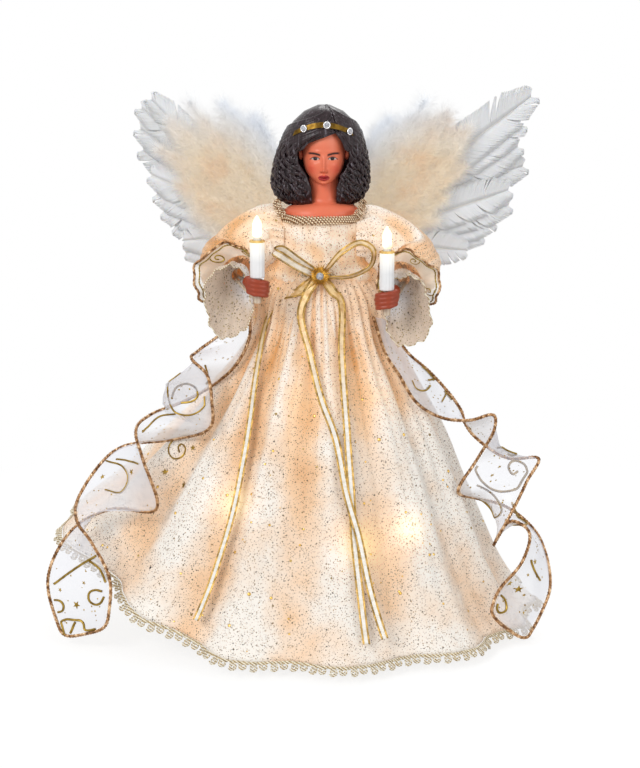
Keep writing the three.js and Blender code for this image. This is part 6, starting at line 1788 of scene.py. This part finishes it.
# The feathers glow faintly in their own tone: painted light.
feather_paint, feather_tree = principled(
    "goose_feather", Roughness=0.6, Sheen_Weight=0.4, Subsurface_Weight=0.25, Emission_Strength=0.07
)
feather_tree.nodes["Principled BSDF"].inputs["Subsurface Radius"].default_value = (0.004, 0.003, 0.002)
feather_tones = (0, (0.56, 0.55, 0.52)), (0.5, (0.76, 0.77, 0.78)), (1, (0.87, 0.88, 0.9))
feather_tone = shades(feather_tree, read_paint(feather_tree, "tone").outputs["Fac"], *feather_tones)
colour_in(feather_tree, feather_tone)
colour_in(feather_tree, feather_tone, "Emission Color")
quill_paint = moulded("feather_quill", (0.95, 0.93, 0.88), (0.86, 0.83, 0.76), 0.4)
card_paint = moulded("wing_card", (0.88, 0.86, 0.82), (0.76, 0.73, 0.68), 0.75)
vane_shape = np.array([(0, 0.1), (0.16, 0.16), (0.36, 0.8), (0.62, 1), (0.88, 0.9), (1, 0.5)])


def wing_depth(x):
    out = np.abs(x) - wing_root_out
    return 22.05 + 8 * ease(out / 26) + 0.1 * out


def wing_ways(side, rise):
    """The way out along a feather that rises at an angle, and the way up across it."""
    return np.array([side * math.cos(rise), 0, math.sin(rise)]), np.array([-side * math.sin(rise), 0, math.cos(rise)])


def feather(side, length, rise, width, layer, rng):
    """One flight feather: a tapered quill with a vane of barbs on each side, split in a few places."""
    quill_root, quill_tip, layer_pitch, barb_lift, barbs_to_a_mm = 0.7, 0.08, 1.6, 0.12, 1.05
    bend = rng.uniform(-0.05, 0.05)
    along, across = wing_ways(side, rise)
    root = np.array([side * wing_root_out, 0, wing_height])

    def place(t, out):
        """A spot on the feather: t along the quill and out across it, in millimetres."""
        t, out = np.broadcast_arrays(np.asarray(t, float), np.asarray(out, float))
        spot = root + along * (t * length)[..., None] + across * (bend * length * t * (1 - t) * 2 + out)[..., None]
        spot[..., 1] = wing_depth(spot[..., 0]) + (layer % 4) * layer_pitch + 0.35 * np.sin(t * 3) + 0.0009 * out**2 * 4
        return spot

    quill_rows = np.linspace(0, 0.9, 30)
    quill = strand(place(quill_rows, 0 * quill_rows) - (0, 0.25, 0), lerp(quill_root, quill_tip, quill_rows), 6)
    shells, tones = [], []
    for edge in (-1, 1):
        splits = rng.uniform(0.6, 0.96, 2)
        count = int(length * barbs_to_a_mm)
        base_tone = rng.uniform(0.45, 0.85)
        for k, at in enumerate(np.linspace(0.13, 0.97, count)):
            half = np.interp(min(at + 0.07, 1), vane_shape[:, 0], vane_shape[:, 1]) * width / 2
            half *= rng.uniform(0.97, 1.02) * (0.9 if edge < 0 else 1.0)
            # Barbs lean apart on the two sides of a split.
            away = at - splits
            lean = np.sum(np.sign(away) * np.exp(-np.abs(away) / 0.02)) * 0.018
            s = np.linspace(0, 1, 5)
            rounded = 1 - 0.07 * (half * s / (width / 2)) ** 2
            spots = place(np.minimum(at + (0.1 + lean) * s**1.4 * (1 - 0.4 * at), rounded), edge * half * s)
            spots[:, 1] += 0.12 * s * np.sin(k * 1.3)
            ahead = along * (length / count * 1.6 * (1 - 0.5 * s**3))[:, None] / 2
            lift = np.array([0, barb_lift, 0])
            rings = np.stack([spots - ahead, spots + ahead - lift, spots + ahead + lift], 1)
            shells.append((rings.reshape(-1, 3), tube_faces(5, 3)))
            tones.append(np.repeat(base_tone + rng.uniform(-0.08, 0.08) - 0.2 * (1 - s) * (at < 0.5), 3))
    return quill, joined_shells(*shells), np.concatenate(tones)


def marabou_shape(tree, sizes):
    barb = {"Vertices": 3, "Radius Top": 0.0, "Radius Bottom": sizes["Root"], "Depth": sizes["Length"]}
    return add_node(tree, "GeometryNodeMeshCone", barb).outputs["Mesh"]


# The down glows faintly in its own tone: painted light.
down_paint, down_tree = principled(
    "marabou_down", Roughness=0.85, Sheen_Weight=0.8, Sheen_Roughness=0.5, Subsurface_Weight=0.2,
    Emission_Strength=0.23,
)  # fmt: skip
down_place = object_place(down_tree)
down_sides = add_node(down_tree, "ShaderNodeVectorMath", {0: down_place}, operation="ABSOLUTE")
# The candle's light on the down is painted: cream in a slanting oval on each wing, and white round it.
oval_place = {"Location": (0.05, 0.025, 0.248), "Rotation": (0, -0.8, 0), "Scale": (0.058, 1, 0.03)}
down_oval = {"Vector": down_sides.outputs[0]} | oval_place
down_band = add_node(down_tree, "ShaderNodeMapping", down_oval, vector_type="TEXTURE")
down_out = add_node(down_tree, "ShaderNodeVectorMath", {0: down_band.outputs[0]}, operation="LENGTH")
down_edge = ranged(down_tree, down_out.outputs["Value"], 0.0, 1.0, 0.55, 1.35)
down_grain = grain(down_tree, 60, 4, down_place)
down_candle_lit = shades(down_tree, down_grain, (0.3, (0.93, 0.71, 0.48)), (0.6, (0.95, 0.83, 0.65)))
down_white = shades(down_tree, down_grain, (0.3, (0.84, 0.88, 0.94)), (0.6, (0.92, 0.95, 1.0)))
down_tone = mixed(down_tree, down_edge, down_candle_lit, down_white)
colour_in(down_tree, down_tone)
colour_in(down_tree, down_tone, "Emission Color")
plume_outline = np.array([(0, 0.3), (0.3, 0.8), (0.62, 1), (0.86, 0.7), (1, 0.12)])


def down_barbs(wing, rng):
    """Where each fine barb of a wing's down sits, and which way it points."""
    plumes, barbs_to_a_mm, nearest, loft = 9, 10, 2.15, 6
    side = -1 if wing == "left" else 1
    places, ways = [], []
    for reach, rise, width in down_plumes[wing]:
        rise = math.radians(rise)
        length = reach * wing_span[wing] - 10
        along, across = wing_ways(side, rise)
        root = np.array([side * 19, 0, wing_height + 10 * math.tan(rise / 2)])
        for k in range(plumes):
            # Fine plumes of each bundle, fanned a little, with barbs all along both sides.
            fan = rng.uniform(-1, 1)
            stem_length = length * rng.uniform(0.72, 1.0) * (1 - 0.12 * abs(fan))
            count = int(stem_length * barbs_to_a_mm)
            t = rng.uniform(0.004, 1, count) ** 0.48
            half = np.interp(t, plume_outline[:, 0], plume_outline[:, 1]) * plume_width * width / 2
            out = fan * half * 0.72 + np.sin(t * 4 + k) * 1.2
            spot = root + along * (t * stem_length)[:, None] + across * out[:, None]
            spot[:, 1] = wing_depth(spot[:, 0]) - nearest - rng.uniform(0, 1, count) * loft * lerp(1, 0.5, t)
            spot[:, 2] = np.minimum(spot[:, 2], down_top - rng.uniform(0, 5, count))
            places.append(spot)
            spread = rng.normal(0, 0.55, (count, 3)) * (1, 0.45, 1)
            side_way = across * (np.sign(rng.uniform(-1, 1, count)) * rng.uniform(0.2, 1.1, count))[:, None]
            ways.append(unit(along * rng.uniform(0.5, 1.2, count)[:, None] + side_way + spread))
    return np.concatenate(places), np.concatenate(ways)


rng = np.random.default_rng(11)
for wing, side in (("left", -1), ("right", 1)):
    quills, vanes, tones = [], [], []
    for layer, (reach, rise, width) in enumerate(long_feathers[wing]):
        length = reach * wing_span[wing]
        quill, vane, tone = feather(side, length, math.radians(rise), width * feather_width, layer, rng)
        quills.append(quill)
        vanes.append(vane)
        tones.append(tone)
    vanes = new_piece(f"{wing}_flight_feathers", *joined_shells(*vanes), feather_paint)
    painted(vanes, "tone", np.concatenate(tones))
    ridden(vanes, "feather", f"{wing}_wing_feathers")
    ridden(new_piece(f"{wing}_quills", *joined_shells(*quills), quill_paint), "feather")
    places, ways = down_barbs(wing, rng)
    sideways = unit(np.cross(ways, (0.1, 1, 0.2)))
    down = laid_out(
        f"{wing}_marabou", places, ways, sideways, rng.uniform(0.6, 1.3, len(places)),
        marabou_shape, {"Root": 0.13, "Length": 8.5}, down_paint,
    )  # fmt: skip
    ridden(down, "feather", f"{wing}_wing_down")
dress(card_paint, "wing_card")
